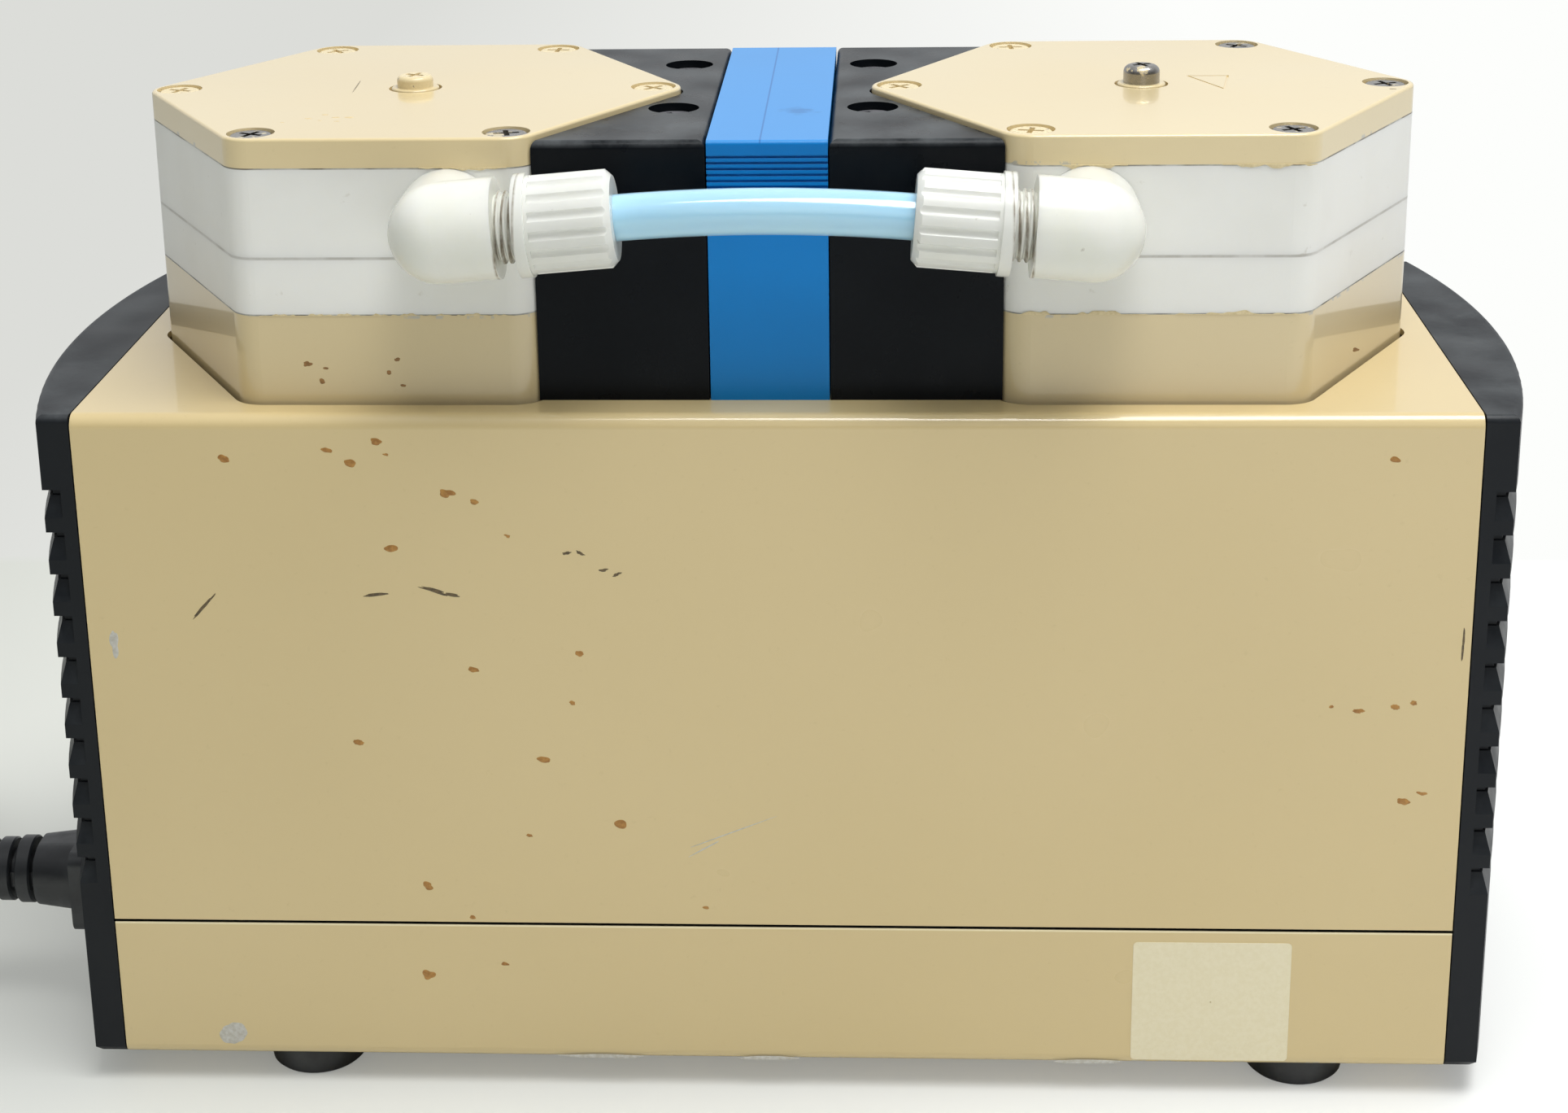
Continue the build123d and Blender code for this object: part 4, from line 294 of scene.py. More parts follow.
@dataclass(frozen=True)
class GripPlastic:
    """Blue moulded strip: semi-gloss, with a smudge and a fine flow line down its top."""

    name: str
    colour: str = "#0A7CC6"
    flow_line_x: float = -1.5
    smudge: tuple[float, float, float] = (6.0, -22.0, 224.3)
    top_z: float = 223.9

    def build(self) -> Material:
        """Strong blue with a painted highlight on faces that point up, a dark hair line along Y and one worn
        smudge where hands pick it up.
        """
        graph = Graph(self.name)
        tone = graph.ramp(graph.noise(18, 3), 0.35, 0.7, 0.0, 0.25)
        colour = graph.mix(tone, srgb(self.colour), srgb("#0A74BA"))
        up = graph.upward()
        # painted highlight: faces that point up are mixed up to a fifth of the way towards pale blue
        colour = graph.mix(graph.ramp(up, 0.3, 0.95, 0.0, 0.2), colour, srgb("#8CCCFF"))
        middle = tuple(v * MM for v in self.smudge)
        spot = graph.add("VectorMath", {0: graph.place(), 1: middle}, operation="DISTANCE")
        waver = graph.ramp(graph.noise(3, 3), 0.3, 0.7, -2 * MM, 2 * MM)
        ragged = graph.math("ADD", spot.outputs["Value"], waver)
        colour = graph.mix(graph.ramp(ragged, MM, 4 * MM, 0.45, 0.0), colour, srgb("#1B5A96"))
        top = graph.ramp(graph.axis("Z"), (self.top_z - 0.5) * MM, self.top_z * MM)
        line = graph.math("MULTIPLY", graph.band("X", self.flow_line_x * MM, 0.12 * MM), top)
        colour = graph.mix(graph.math("MULTIPLY", line, 0.55), colour, srgb("#0B4F94"))
        grain = graph.bump(graph.noise(0.8, 2), 0.015, 0.3)
        return graph.finish({"Base Color": colour, "Roughness": 0.3, "Normal": grain, "IOR": 1.3})


@dataclass(frozen=True)
class Fluoropolymer:
    """Moulded PFA fittings: milky white that passes a little light, brown grime held in the thread."""

    name: str
    thread: tuple[float, float] = (51.5, 56.6)
    pitch: float = 1.5
    colour: str = "#F6F7EE"
    grime: str = "#7A6A54"

    def build(self) -> Material:
        """Milky body; grime lies where the distance from the middle is inside the thread's range."""
        graph = Graph(self.name)
        across = graph.math("ABSOLUTE", graph.axis("X"))
        inside = graph.math("MULTIPLY",
                            graph.ramp(across, self.thread[0] * MM, (self.thread[0] + 0.5) * MM),
                            graph.ramp(across, (self.thread[1] - 0.5) * MM, self.thread[1] * MM, 1.0, 0.0))
        wave = graph.math("PINGPONG", across, self.pitch / 2 * MM)
        grooves = graph.ramp(wave, 0.3 * MM, 0.55 * MM, 0.0, 0.9)
        patchy = graph.ramp(graph.noise(4.0, 3, 0.6), 0.3, 0.6, 0.35, 1.0)
        streaks = graph.math("MULTIPLY", grooves, patchy)
        clouds = graph.ramp(graph.noise(9, 3), 0.35, 0.7, 0.0, 0.3)
        tint = graph.mix(clouds, srgb(self.colour), srgb("#E8E9DC"))
        spots = graph.ramp(graph.noise(2.4, 3, 0.6), 0.71, 0.76, 0.0, 0.5)
        tint = graph.mix(spots, tint, srgb("#A79E8E"))
        colour = graph.mix(graph.math("MULTIPLY", inside, streaks), tint, srgb(self.grime))
        ripple = graph.bump(graph.noise(3.0, 2), 0.03, 0.25)
        return graph.finish({
            "Base Color": colour, "Roughness": 0.2, "Normal": ripple,
            "IOR": 1.4, "Transmission Weight": 0.16,
            "Subsurface Weight": 0.6, "Subsurface Radius": (1.0, 0.97, 0.9), "Subsurface Scale": 0.005,
        })


@dataclass(frozen=True)
class MilkyTube:
    """Extruded PTFE tube: bluish haze in the wall and a smooth skin that shows bright streaks."""

    name: str
    colour: str = "#B4E4FF"

    def build(self) -> Material:
        """Haze colour with some transmission and fine lengthwise drawing lines."""
        graph = Graph(self.name)
        tone = graph.ramp(graph.noise(6, 2, 0.5, (0.15, 1, 1)), 0.35, 0.65, 0.0, 0.4)
        colour = graph.mix(tone, srgb(self.colour), srgb("#A4D6FF"))
        lines = graph.bump(graph.noise(0.8, 2, 0.5, (0.05, 1, 1)), 0.02, 0.3)
        return graph.finish({
            "Base Color": colour, "Roughness": 0.12, "Normal": lines,
            "IOR": 1.42, "Transmission Weight": 0.08,
            "Subsurface Weight": 0.25, "Subsurface Radius": (0.7, 0.85, 1.0), "Subsurface Scale": 0.003,
            "Coat Weight": 1.0, "Coat Roughness": 0.03, "Sheen Weight": 0.35, "Sheen Roughness": 0.3,
        })


@dataclass(frozen=True)
class HeadScrewFinish:
    """Plated screws, painted over with the plates; several have been driven since and are bare."""

    name: str
    enamel: str = "#E0CFA4"
    plated: str = "#A5A29E"
    left_limit: float = -10.0
    front_limit: float = -30.0
    outer_limit: float = 100.0
    centre_limit: float = 80.0
    centre_half: float = 10.0
    step: float = 0.1

    def build(self) -> Material:
        """Bare where a screw has been out: the left head's front pair, the right head's outer ones."""
        graph = Graph(self.name)
        x, y = graph.axis("X"), graph.axis("Y")
        left = graph.ramp(x, (self.left_limit - self.step) * MM, self.left_limit * MM, 1.0, 0.0)
        front = graph.ramp(y, (self.front_limit - self.step) * MM, self.front_limit * MM, 1.0, 0.0)
        left_front = graph.math("MULTIPLY", left, front)
        right_outer = graph.ramp(x, self.outer_limit * MM, (self.outer_limit + self.step) * MM)
        near_middle = graph.ramp(graph.math("ABSOLUTE", y),
                                 (self.centre_half - self.step) * MM, self.centre_half * MM, 1.0, 0.0)
        beyond = graph.ramp(x, (self.centre_limit - self.step) * MM, self.centre_limit * MM)
        right_centre = graph.math("MULTIPLY", near_middle, beyond)
        bare = graph.math("ADD", graph.math("ADD", left_front, right_outer), right_centre, True)
        left_over = graph.ramp(graph.noise(4.0, 3, 0.6), 0.60, 0.62, 1.0, 0.25)
        bare = graph.math("MULTIPLY", bare, left_over)
        cracked = graph.ramp(graph.noise(1.6, 3, 0.6), 0.66, 0.68, 0.0, 0.6)
        bare = graph.math("MAXIMUM", bare, cracked)
        colour = graph.mix(bare, srgb(self.enamel), srgb(self.plated))
        scuffs = graph.bump(graph.noise(0.5, 3), 0.03, 0.4)
        rough = graph.ramp(graph.noise(1.2, 3), 0.3, 0.7, 0.2, 0.34)
        return graph.finish({"Base Color": colour, "Metallic": bare, "Roughness": rough, "Normal": scuffs})


class Lay(Enum):
    """Direction of the marks that a metal keeps from its making: stretches of a noise on X, Y, Z."""

    TURNED = (0.15, 1.0, 1.0)
    CAST = (1.0, 1.0, 1.0)
    STACKED = (3.0, 0.1, 0.1)


@dataclass(frozen=True)
class WorkedMetal:
    """Bare or plated metal with the marks of turning, casting or stacking."""

    name: str
    colour: str
    lay: Lay = Lay.CAST
    roughness: float = 0.35
    mark_mm: float = 0.8
    metallic: float = 1.0

    def build(self) -> Material:
        """Metal colour, cloudy roughness and marks stretched along its lay."""
        graph = Graph(self.name)
        tone = graph.ramp(graph.noise(12, 3), 0.3, 0.7, 0.0, 0.35)
        darker = tuple(c * 0.75 for c in srgb(self.colour)[:3]) + (1.0,)
        colour = graph.mix(tone, srgb(self.colour), darker)
        rough = graph.ramp(graph.noise(5, 4), 0.3, 0.7, self.roughness - 0.08, self.roughness + 0.12)
        marks = graph.bump(graph.noise(self.mark_mm, 3, 0.5, self.lay.value), 0.04, 0.4)
        return graph.finish({
            "Base Color": colour, "Metallic": self.metallic, "Roughness": rough, "Normal": marks,
        })


@dataclass(frozen=True)
class Elastomer:
    """Moulded rubber or soft PVC: near black, matt, with bloom and handling marks."""

    name: str
    colour: str = "#15171A"
    bloom: str = "#3C3E40"
    roughness: float = 0.5

    def build(self) -> Material:
        """Dark body with a grey bloom in patches and a fine pebbled skin."""
        graph = Graph(self.name)
        patches = graph.ramp(graph.noise(8, 4, 0.6), 0.4, 0.75, 0.0, 0.5)
        colour = graph.mix(patches, srgb(self.colour), srgb(self.bloom))
        skin = graph.bump(graph.noise(0.6, 2), 0.03, 0.4)
        rough = graph.ramp(graph.noise(5, 3), 0.3, 0.7, self.roughness - 0.08, self.roughness + 0.1)
        return graph.finish({"Base Color": colour, "Roughness": rough, "Normal": skin, "IOR": 1.52})


@dataclass(frozen=True)
class PlainMark:
    """A stain, chip or printed card: one colour with a little mottling."""

    name: str
    colour: str
    second: str
    roughness: float = 0.45

    def build(self) -> Material:
        """Two close colours mixed by a fine noise."""
        graph = Graph(self.name)
        mottle = graph.ramp(graph.noise(1.1, 3, 0.6), 0.35, 0.65)
        colour = graph.mix(mottle, srgb(self.colour), srgb(self.second))
        return graph.finish({"Base Color": colour, "Roughness": self.roughness, "IOR": 1.5})


# ======== surfaces ========
def grid_piece(name: str, points: np.ndarray, wrap_v: bool) -> Object:
    """Makes a mesh from a grid of points.

    Each grid cell becomes one quad; wrapped, the last column joins the first.

    Args:
        name: The piece's name.
        points: Array of rows, columns and three coordinates, in metres.
        wrap_v: Whether the last column joins the first.

    Returns:
        The new object, linked to the scene.
    """
    rows, columns = points.shape[:2]
    index = np.arange(rows * columns).reshape(rows, columns)
    u = np.arange(rows - 1)
    v = np.arange(columns if wrap_v else columns - 1)
    a = index[np.ix_(u, v)]
    b = index[np.ix_(u + 1, v)]
    c = index[np.ix_(u + 1, (v + 1) % columns)]
    d = index[np.ix_(u, (v + 1) % columns)]
    faces = np.stack([a, b, c, d], axis=-1).reshape(-1, 4).tolist()
    mesh = bpy.data.meshes.new(name)
    mesh.from_pydata(points.reshape(-1, 3).tolist(), [], faces)
    mesh.validate()
    mesh.update()
    piece = bpy.data.objects.new(name, mesh)
    bpy.context.scene.collection.objects.link(piece)
    return piece


def join(name: str, pieces: list[Object]) -> Object:
    """Joins pieces into one object of that name."""
    vertices: list = []
    faces: list = []
    for piece in pieces:
        start = len(vertices)
        vertices += [tuple(v.co) for v in piece.data.vertices]
        faces += [tuple(start + i for i in p.vertices) for p in piece.data.polygons]
        bpy.data.objects.remove(piece)
    mesh = bpy.data.meshes.new(name)
    mesh.from_pydata(vertices, [], faces)
    mesh.update()
    whole = bpy.data.objects.new(name, mesh)
    bpy.context.scene.collection.objects.link(whole)
    return whole


def dress(piece: Object, material: Material, body: str = "pump", smooth: bool = True) -> Object:
    """Gives a piece its material and body, and reports it."""
    piece.data.materials.clear()
    piece.data.materials.append(material)
    if piece.type == "MESH" and smooth:
        piece.data.polygons.foreach_set("use_smooth", [True] * len(piece.data.polygons))
    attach(piece, body)
    LOG.info("made %s", piece.name)
    return piece


class Facing(Enum):
    """Which way a flat mark faces, as the directions of its width, its height and its outside."""

    FRONT = ((1, 0, 0), (0, 0, 1), (0, -1, 0))
    TOP = ((1, 0, 0), (0, 1, 0), (0, 0, 1))


@dataclass(frozen=True)
class Mark:
    """A spot or streak on the paint: place and two half sizes in millimetres, turn in degrees."""

    place: tuple[float, float, float]
    half: tuple[float, float]
    turn: float = 0.0
    ragged: float = 0.3


@dataclass
class MarkField:
    """Thin irregular islands that lie on one flat face, such as rust spots or paint chips."""

    name: str
    marks: list[Mark]
    facing: Facing
    finish: PlainMark
    lift_mm: float = 0.03
    seed: int = 3

    def build(self) -> Object:
        """Each mark is a low dome: radius times a sum of three random waves round its edge.

        Returns:
            One object with every mark of the field.
        """
        rng = np.random.default_rng(self.seed)
        right, up, out = (np.array(v, float) for v in self.facing.value)
        angle = np.linspace(0, 2 * np.pi, 28, endpoint=False)
        pieces = []
        for k, mark in enumerate(self.marks):
            waves = sum(rng.normal(0, mark.ragged / n) * np.cos(n * angle + rng.uniform(0, 6.3))
                        for n in (2, 3, 5, 8))
            radius = np.clip(1 + waves, 0.25, 1.9)
            flat = np.stack([mark.half[0] * radius * np.cos(angle),
                             mark.half[1] * radius * np.sin(angle)], -1)
            turn = math.radians(mark.turn)
            spin = np.array([[math.cos(turn), math.sin(turn)], [-math.sin(turn), math.cos(turn)]])
            flat = flat @ spin
            shrink = np.array([1.0, 0.96, 0.5, 0.02])
            lift = np.array([-0.02, 0.6, 1.0, 1.0]) * self.lift_mm
            ring = flat[None] * shrink[:, None, None]
            flat_place = np.array(mark.place) + ring[..., :1] * right + ring[..., 1:] * up
            points = flat_place + lift[:, None, None] * out
            pieces.append(grid_piece(f"{self.name}_{k}", points * MM, True))
        whole = join(self.name, pieces)
        return dress(whole, self.finish.build())


# ======== sub-assemblies ========
@dataclass
class PumpCase:
    """Folded case, side caps, feet and inner electrics."""

    front_y: float = -64.0
    tray_edge: float = 7.4
    tray_top: float = 42.0
    cover_edge: float = 42.8
    rust: list[tuple[int, int]] = field(default_factory=lambda: [
        (-120, 156), (-97, 158), (-92, 155), (-84, 157), (-86, 160), (-71, 148), (-65, 146),
        (-58, 138), (-84, 135), (-67, 106), (-45, 98), (-94, 88), (-52, 84), (-56, 65),
        (-35, 68), (-80, 52), (-70, 44), (-16, 47), (-81, 29), (-63, 32), (-43, 110),
        (130, 97), (138, 98), (124, 98), (142, 99), (145, 77), (141, 75), (135, 156),
    ])
    scrapes: list[tuple[int, int, int, int]] = field(default_factory=lambda: [
        (-75, 125, 4, -18), (-71, 124, 2, -10), (-127, 121, 4, 48), (-45, 134, 1, 10), (-42, 134, 1, -30),
        (-37, 130, 1, 0), (-34, 129, 1, 20), (-88, 124, 3, 5), (152, 113, 3, 90),
    ])
    chips: list[tuple[int, int, int, int]] = field(default_factory=lambda: [
        (-41, 8, 10, 0), (-2, 8, 7, 0), (72, 8, 8, 0),
    ])
    patches: list[tuple[int, int, int, int]] = field(default_factory=lambda: [
        (-148, 112, 1, 3), (-128, 13, 3, 3),
    ])
    scratches: list[tuple[int, int, int, int]] = field(default_factory=lambda: [
        (-10, 66, 11, 22), (-16, 62, 5, 30),
    ])
    label_place: tuple[float, float] = (99.8, 24.0)
    label_half: tuple[float, float] = (18.0, 15.2)
    label_corner: float = 1.0
    scrape_half: float = 0.35
    chip_half: float = 0.5
    scratch_half: float = 0.13

    def marks(self) -> None:
        """Rust spots, dark scrapes and primer chips on the front; the rust's sizes are random.

        Spots hold X and Z; scrapes, chips and scratches add half a length and a turn; patches add
        two half sizes.
        """
        y = self.front_y
        rng = np.random.default_rng(21)
        rust = [Mark((x, y, z), (w, w * rng.uniform(0.45, 0.8)), -12.0)
                for (x, z), w in zip(self.rust, rng.uniform(0.5, 1.6, len(self.rust)))]
        dark = [Mark((x, y, z), (a, self.scrape_half), t, 0.4) for x, z, a, t in self.scrapes]
        pale = [Mark((x, y, z), (a, self.chip_half), t, 0.25) for x, z, a, t in self.chips]
        pale += [Mark((x, y, z), (a, b), 0.0, 0.25) for x, z, a, b in self.patches]
        pale += [Mark((x, y, z), (a, self.scratch_half), t, 0.25) for x, z, a, t in self.scratches]
        for name, marks, finish, seed in (
            ("rust_spots", rust, PlainMark("rust_stain", "#B5853F", "#94652A"), 5),
            ("dark_scrapes", dark, PlainMark("dark_scrape", "#6E5C3C", "#4A3E2A"), 8),
            ("primer_chips", pale, PlainMark("chipped_primer", "#C9C8C2", "#B4B0A4"), 2),
        ):
            MarkField(name, marks, Facing.FRONT, finish, seed=seed).build()

    def label(self) -> None:
        """Blank card label with rounded corners near the front's lower right corner.

        Its outline is a rectangle whose corners are quarter circles, carried back to the case.
        """
        half_width, half_height, corner = self.label_half[0], self.label_half[1], self.label_corner
        angle = np.linspace(0, 2 * np.pi, 48, endpoint=False)
        corner_x = np.sign(np.cos(angle)) * (half_width - corner)
        corner_z = np.sign(np.sin(angle)) * (half_height - corner)
        outline = np.stack([corner_x + corner * np.cos(angle), corner_z + corner * np.sin(angle)], -1)
        depth = np.array([0.0, 0.10, 0.14, 0.14])
        shrink = np.array([1.0, 1.0, 0.997, 0.01])
        ring = outline[None] * shrink[:, None, None]
        points = np.stack([self.label_place[0] + ring[..., 0],
                           self.front_y - depth[:, None] + 0 * ring[..., 0],
                           self.label_place[1] + ring[..., 1]], -1)
        card = grid_piece("blank_label", points * MM, True)
        dress(card, PlainMark("label_card", "#E6DDBE", "#E2D8B6", 0.32).build(), smooth=False)

    def build(self) -> None:
        """Dresses the case's nodes and adds its marks and label."""
        cast = StovedEnamel("case_enamel", chip_heights=(self.tray_edge,), chip_half_mm=0.5,
                            seam=(self.tray_top, self.cover_edge))
        paint(cast.build(), "base_tray", "top_cover")
        black = MouldedPlastic("black_abs", "#0F1318", dust_and_sheen_colour="#83888A", dust_and_sheen=0.3)
        paint(black.build(), "left_side_cap", "right_side_cap", "switch_housing", "mains_inlet")
        paint(Elastomer("foot_rubber").build(), "rubber_feet", "rubber_buffers")
        dulled = WorkedMetal("dulled_screws", "#77777B", Lay.CAST, 0.4, 0.8, 0.5)
        paint(dulled.build(), "case_screws", "underside_bolts")
        paint(MouldedPlastic("terminal_nylon", "#E4E1D8", Grain.FINE, 0.45, 0.1).build(), "terminal_block")
        can = MouldedPlastic("capacitor_case", "#D9D8D2", Grain.POLISHED, 0.35, 0.1)
        paint(can.build(), "run_capacitor")
        paint(WorkedMetal("sprung_steel", "#A5A49F", Lay.CAST, 0.3).build(), "capacitor_clip")
        paint(WorkedMetal("plated_brass", "#C9A75C", Lay.CAST, 0.25).build(), "inlet_pins")
        paint(MouldedPlastic("rocker_nylon", "#17181A", Grain.POLISHED, 0.25, 0.15).build(), "rocker_switch")
        self.marks()
        self.label()


def paint(material: Material, *nodes: str) -> None:
    """Gives carried-over solids their material."""
    for node in nodes:
        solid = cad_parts[node]
        solid.data.materials.clear()
        solid.data.materials.append(material)
        LOG.info("dressed %s", node)


@dataclass
class DriveTrain:
    """Motor, crank, rods and diaphragms inside the case."""

    def build(self) -> None:
        """Dresses the moving and electrical parts."""
        stacked = WorkedMetal("stacked_steel", "#6E6C69", Lay.STACKED, 0.42, 0.6)
        paint(stacked.build(), "stator_core", "rotor")
        paint(WorkedMetal("enamelled_copper", "#B5622C", Lay.TURNED, 0.3, 1.0).build(), "stator_windings")
        ground = WorkedMetal("ground_steel", "#A7A7A5", Lay.TURNED, 0.22, 0.4)
        paint(ground.build(), "motor_shaft", "eccentric_left", "eccentric_right", "rod_bearing_left",
              "rod_bearing_right", "shaft_bearings", "motor_tie_bolts")
        cast = WorkedMetal("cast_rods", "#B9B9B6", Lay.CAST, 0.45, 1.2)
        paint(cast.build(), "connecting_rod_left", "connecting_rod_right")
        paint(MouldedPlastic("fan_nylon", "#1B1B1C", Grain.FINE, 0.5, 0.3).build(), "fans")
        soft = MachinedPtfe("faced_diaphragm", colour="#E6E5DE")
        paint(soft.build(), "diaphragm_left", "diaphragm_right", "clamp_disc_left", "clamp_disc_right",
              "inlet_valve_left", "inlet_valve_right", "outlet_valve_left", "outlet_valve_right")


@dataclass
class PumpHeads:
    """Two hexagonal heads with their plates, screws, fittings and the tube between them."""

    base_top: float = 186.0
    plate_bottom: float = 219.2
    plate_top: float = 225.7
    middle_joint: float = 199.0
    front_y: float = -55.0
    base_spots: list[tuple[int, int]] = field(default_factory=lambda: [
        (-102, 175), (-98, 174), (-99, 171), (-84, 173), (-81, 170), (-82, 176), (127, 178),
    ])
    plate_spots: list[tuple[int, int]] = field(default_factory=lambda: [
        (-100, -30), (-97, -33), (-100, -36), (-96, -37), (-103, -34), (-108, -38), (-94, -33),
    ])

    def marks(self) -> None:
        """Spots on the head bases, scratches and stains on the plates; the spots' sizes are random."""
        y, top = self.front_y, self.plate_top
        rng = np.random.default_rng(17)

        def spots(places: list[tuple[int, int, float]]) -> list[Mark]:
            """Small marks of random size, wider than high."""
            widths = rng.uniform(0.4, 1.0, len(places))
            return [Mark(place, (w, 0.7 * w)) for place, w in zip(places, widths)]

        base = spots([(x, y, z) for x, z in self.base_spots])
        stain = spots([(x, back, top) for x, back in self.plate_spots])
        plate = [Mark((-99, 2, top), (0.16, 7), 3, 0.06), Mark((141, -8, top), (0.8, 0.5))]
        for name, marks, facing, finish, seed in (
            ("head_base_spots", base, Facing.FRONT, PlainMark("head_rust", "#9C7440", "#7C5A30"), 4),
            ("plate_scratches", plate, Facing.TOP, PlainMark("plate_scratch", "#8E8163", "#6F6450"), 6),
            ("plate_stains", stain, Facing.TOP, PlainMark("plate_stain", "#D8C394", "#CDB684"), 7),
        ):
            MarkField(name, marks, facing, finish, seed=seed).build()

    def paint_lips(self) -> None:
        """Ragged flakes of enamel that overhang the joints under both plates and over both head bases.

        Each flake is a strip along the joint whose depth follows a sum of random waves, a tenth of
        a millimetre proud of the face.
        """
        rng = np.random.default_rng(11)
        flakes = []
        runs = ((63, 77, self.plate_bottom, -1.0), (97, 117, self.plate_bottom, -0.7),
                (-75, -56, self.plate_bottom, -0.5), (54, 82, self.base_top, 0.7),
                (88, 115, self.base_top, 0.8), (-112, -56, self.base_top, 0.5))
        for x0, x1, z, reach in runs:
            x = np.linspace(x0, x1, 90)
            wave = sum(rng.normal(0, 1.0) * np.sin((x - x0) * k + rng.uniform(0, 6.3)) / k**0.5
                       for k in (0.4, 0.9, 1.7, 3.1))
            fade = np.clip(np.minimum(x - x0, x1 - x) / 2.5, 0, 1)
            depth = np.clip(0.45 + 0.35 * wave, 0.03, 1.2) * fade * reach
            rows = [(0.0, 0.0), (0.12, 0.0), (0.12, 1.0), (0.02, 1.0)]
            points = np.stack([np.stack([x, self.front_y - out + 0 * x, z + share * depth], -1)
                               for out, share in rows])
            flakes.append(grid_piece(f"flake_{len(flakes)}", points * MM, False))
        lips = join("paint_lips", flakes)
        solid = lips.modifiers.new("thickness", "SOLIDIFY")
        solid.thickness = 0.08 * MM
        solid.offset = 1.0
        dress(lips, PlainMark("flaking_enamel", "#DFCFA6", "#CDBB8E").build(), smooth=False)

    def build(self) -> None:
        """Dresses the heads and adds their wear."""
        plate = StovedEnamel("plate_enamel", "#E3D2A6", "#DBC798",
                             chip_heights=(self.plate_bottom,), chip_half_mm=0.5)
        paint(plate.build(), "pressure_plate_left", "pressure_plate_right")
        base = StovedEnamel("base_enamel", "#D9C89F", "#CDBA8C",
                            chip_heights=(self.base_top,), chip_half_mm=0.45)
        paint(base.build(), "crankcase_left", "crankcase_right")
        joints = ((self.base_top, "#3A3429"), (self.middle_joint, "#C6C3BA"),
                  (self.plate_bottom, "#6E6656"))
        block = MachinedPtfe("machined_ptfe", joints)
        paint(block.build(), "head_lid_left", "head_lid_right", "intermediate_plate_left",
              "intermediate_plate_right")
        paint(StovedEnamel("bush_enamel", "#E3D2A6", "#D5C190").build(), "centre_bushes")
        paint(HeadScrewFinish("painted_screws").build(), "head_screws")
        paint(Fluoropolymer("moulded_pfa").build(), "front_elbows", "union_nuts", "ferrules",
              "inlet_nozzle", "outlet_nozzle")
        paint(MilkyTube("milky_tube").build(), "connecting_tube")
        self.marks()
        self.paint_lips()


@dataclass
class CentreCover:
    """Black blocks and blue strip between the heads."""

    def build(self) -> None:
        """Dresses the two blocks and the grip strip."""
        black = MouldedPlastic("block_abs", "#070B10", Grain.FINE, 0.3, 0.55, "#74797B", 0.25)
        paint(black.build(), "centre_cover_left", "centre_cover_right")
        paint(GripPlastic("grip_blue").build(), "grip_strip")


@dataclass
class MainsLead:
    """Rubber-sheathed lead: out of the connector, down to the bench and into a tied coil."""

    diameter: float = 7.0
    coil_centre: tuple[float, float] = (-272.0, 45.0)
    mean_radius: float = 40.0
    bottom: float = 0.9
    length: float = 1.7
    tail: float = 26.0
    points_per_turn: int = 16

    def route(self) -> list[tuple[float, float, float]]:
        """Control points in millimetres from the strain relief to where the coil starts."""
        entry = self.coil_centre[0] - self.mean_radius - self.diameter / 2
        floor = self.diameter / 2 + 0.1
        first = self.layer(0)
        return [(-214, -28, 36.4), (-235, -28, 36.4), (-256, -26.5, 30.5), (-277, -20.5, 19), (-297, -7, 8),
                (-309.5, 12.5, floor), (entry, 33, first - 0.2), (entry, 45, first)]

    def layer(self, index: int) -> float:
        """Height of the cord's middle in one layer of the coil."""
        return self.bottom + (index + 0.5) * self.diameter

    def coil(self) -> list[tuple[float, float, float]]:
        """Control points of six turns, outer and inner columns in three layers.

        The angle runs on at a steady rate; radius and height step from turn to turn over the last
        quarter of each. The radius is swollen a little, because the curve runs inside its points.
        """
        outer = self.mean_radius + self.diameter / 2
        inner = self.mean_radius - self.diameter / 2
        swell = 1 / math.cos(math.pi / self.points_per_turn) ** 0.5
        turns = [(outer, 0), (inner, 0), (inner, 1), (inner, 2), (outer, 2), (outer, 1)]
        points = []
        for k, (radius, layer) in enumerate(turns):
            after = turns[min(k + 1, len(turns) - 1)]
            for step in range(1, self.points_per_turn + 1):
                share = step / self.points_per_turn
                blend = max(0.0, (share - 0.75) / 0.25)
                r = radius + (after[0] - radius) * blend
                z = self.layer(layer) + (self.layer(after[1]) - self.layer(layer)) * blend
                angle = math.pi - 2 * math.pi * share
                x = self.coil_centre[0] + swell * r * math.cos(angle)
                y = self.coil_centre[1] + swell * r * math.sin(angle)
                points.append((x, y, z))
        return points

    def build(self) -> None:
        """Lays the cord as one NURBS curve and dresses the pieces on it."""
        rubber = Elastomer("lead_rubber", "#121416", "#34373A", 0.42).build()
        points = self.route() + self.coil()
        last = points[-1]
        points += [(last[0], last[1] + self.tail * share, last[2]) for share in (0.5, 1.0)]
        curve = bpy.data.curves.new("mains_lead", "CURVE")
        curve.dimensions = "3D"
        curve.bevel_depth = self.diameter / 2 * MM
        curve.bevel_resolution = 5
        curve.resolution_u = 6
        curve.use_fill_caps = True
        spline = curve.splines.new("NURBS")
        spline.points.add(len(points) - 1)
        for point, place in zip(spline.points, points):
            point.co = (*(c * MM for c in place), 1.0)
        spline.order_u = 3
        spline.use_endpoint_u = True
        lead = bpy.data.objects.new("mains_lead", curve)
        bpy.context.scene.collection.objects.link(lead)
        curve.materials.append(rubber)
        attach(lead, "pump")
        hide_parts("mains_cord", "cord_coil")
        paint(rubber, "mains_plug")
        paint(Elastomer("connector_pvc", "#15181B", "#3A3D40", 0.38).build(), "mains_connector")
        paint(Elastomer("tie_pvc", "#1D1F22", "#3C3E40", 0.35).build(), "cord_tie")
        LOG.info("made mains_lead")


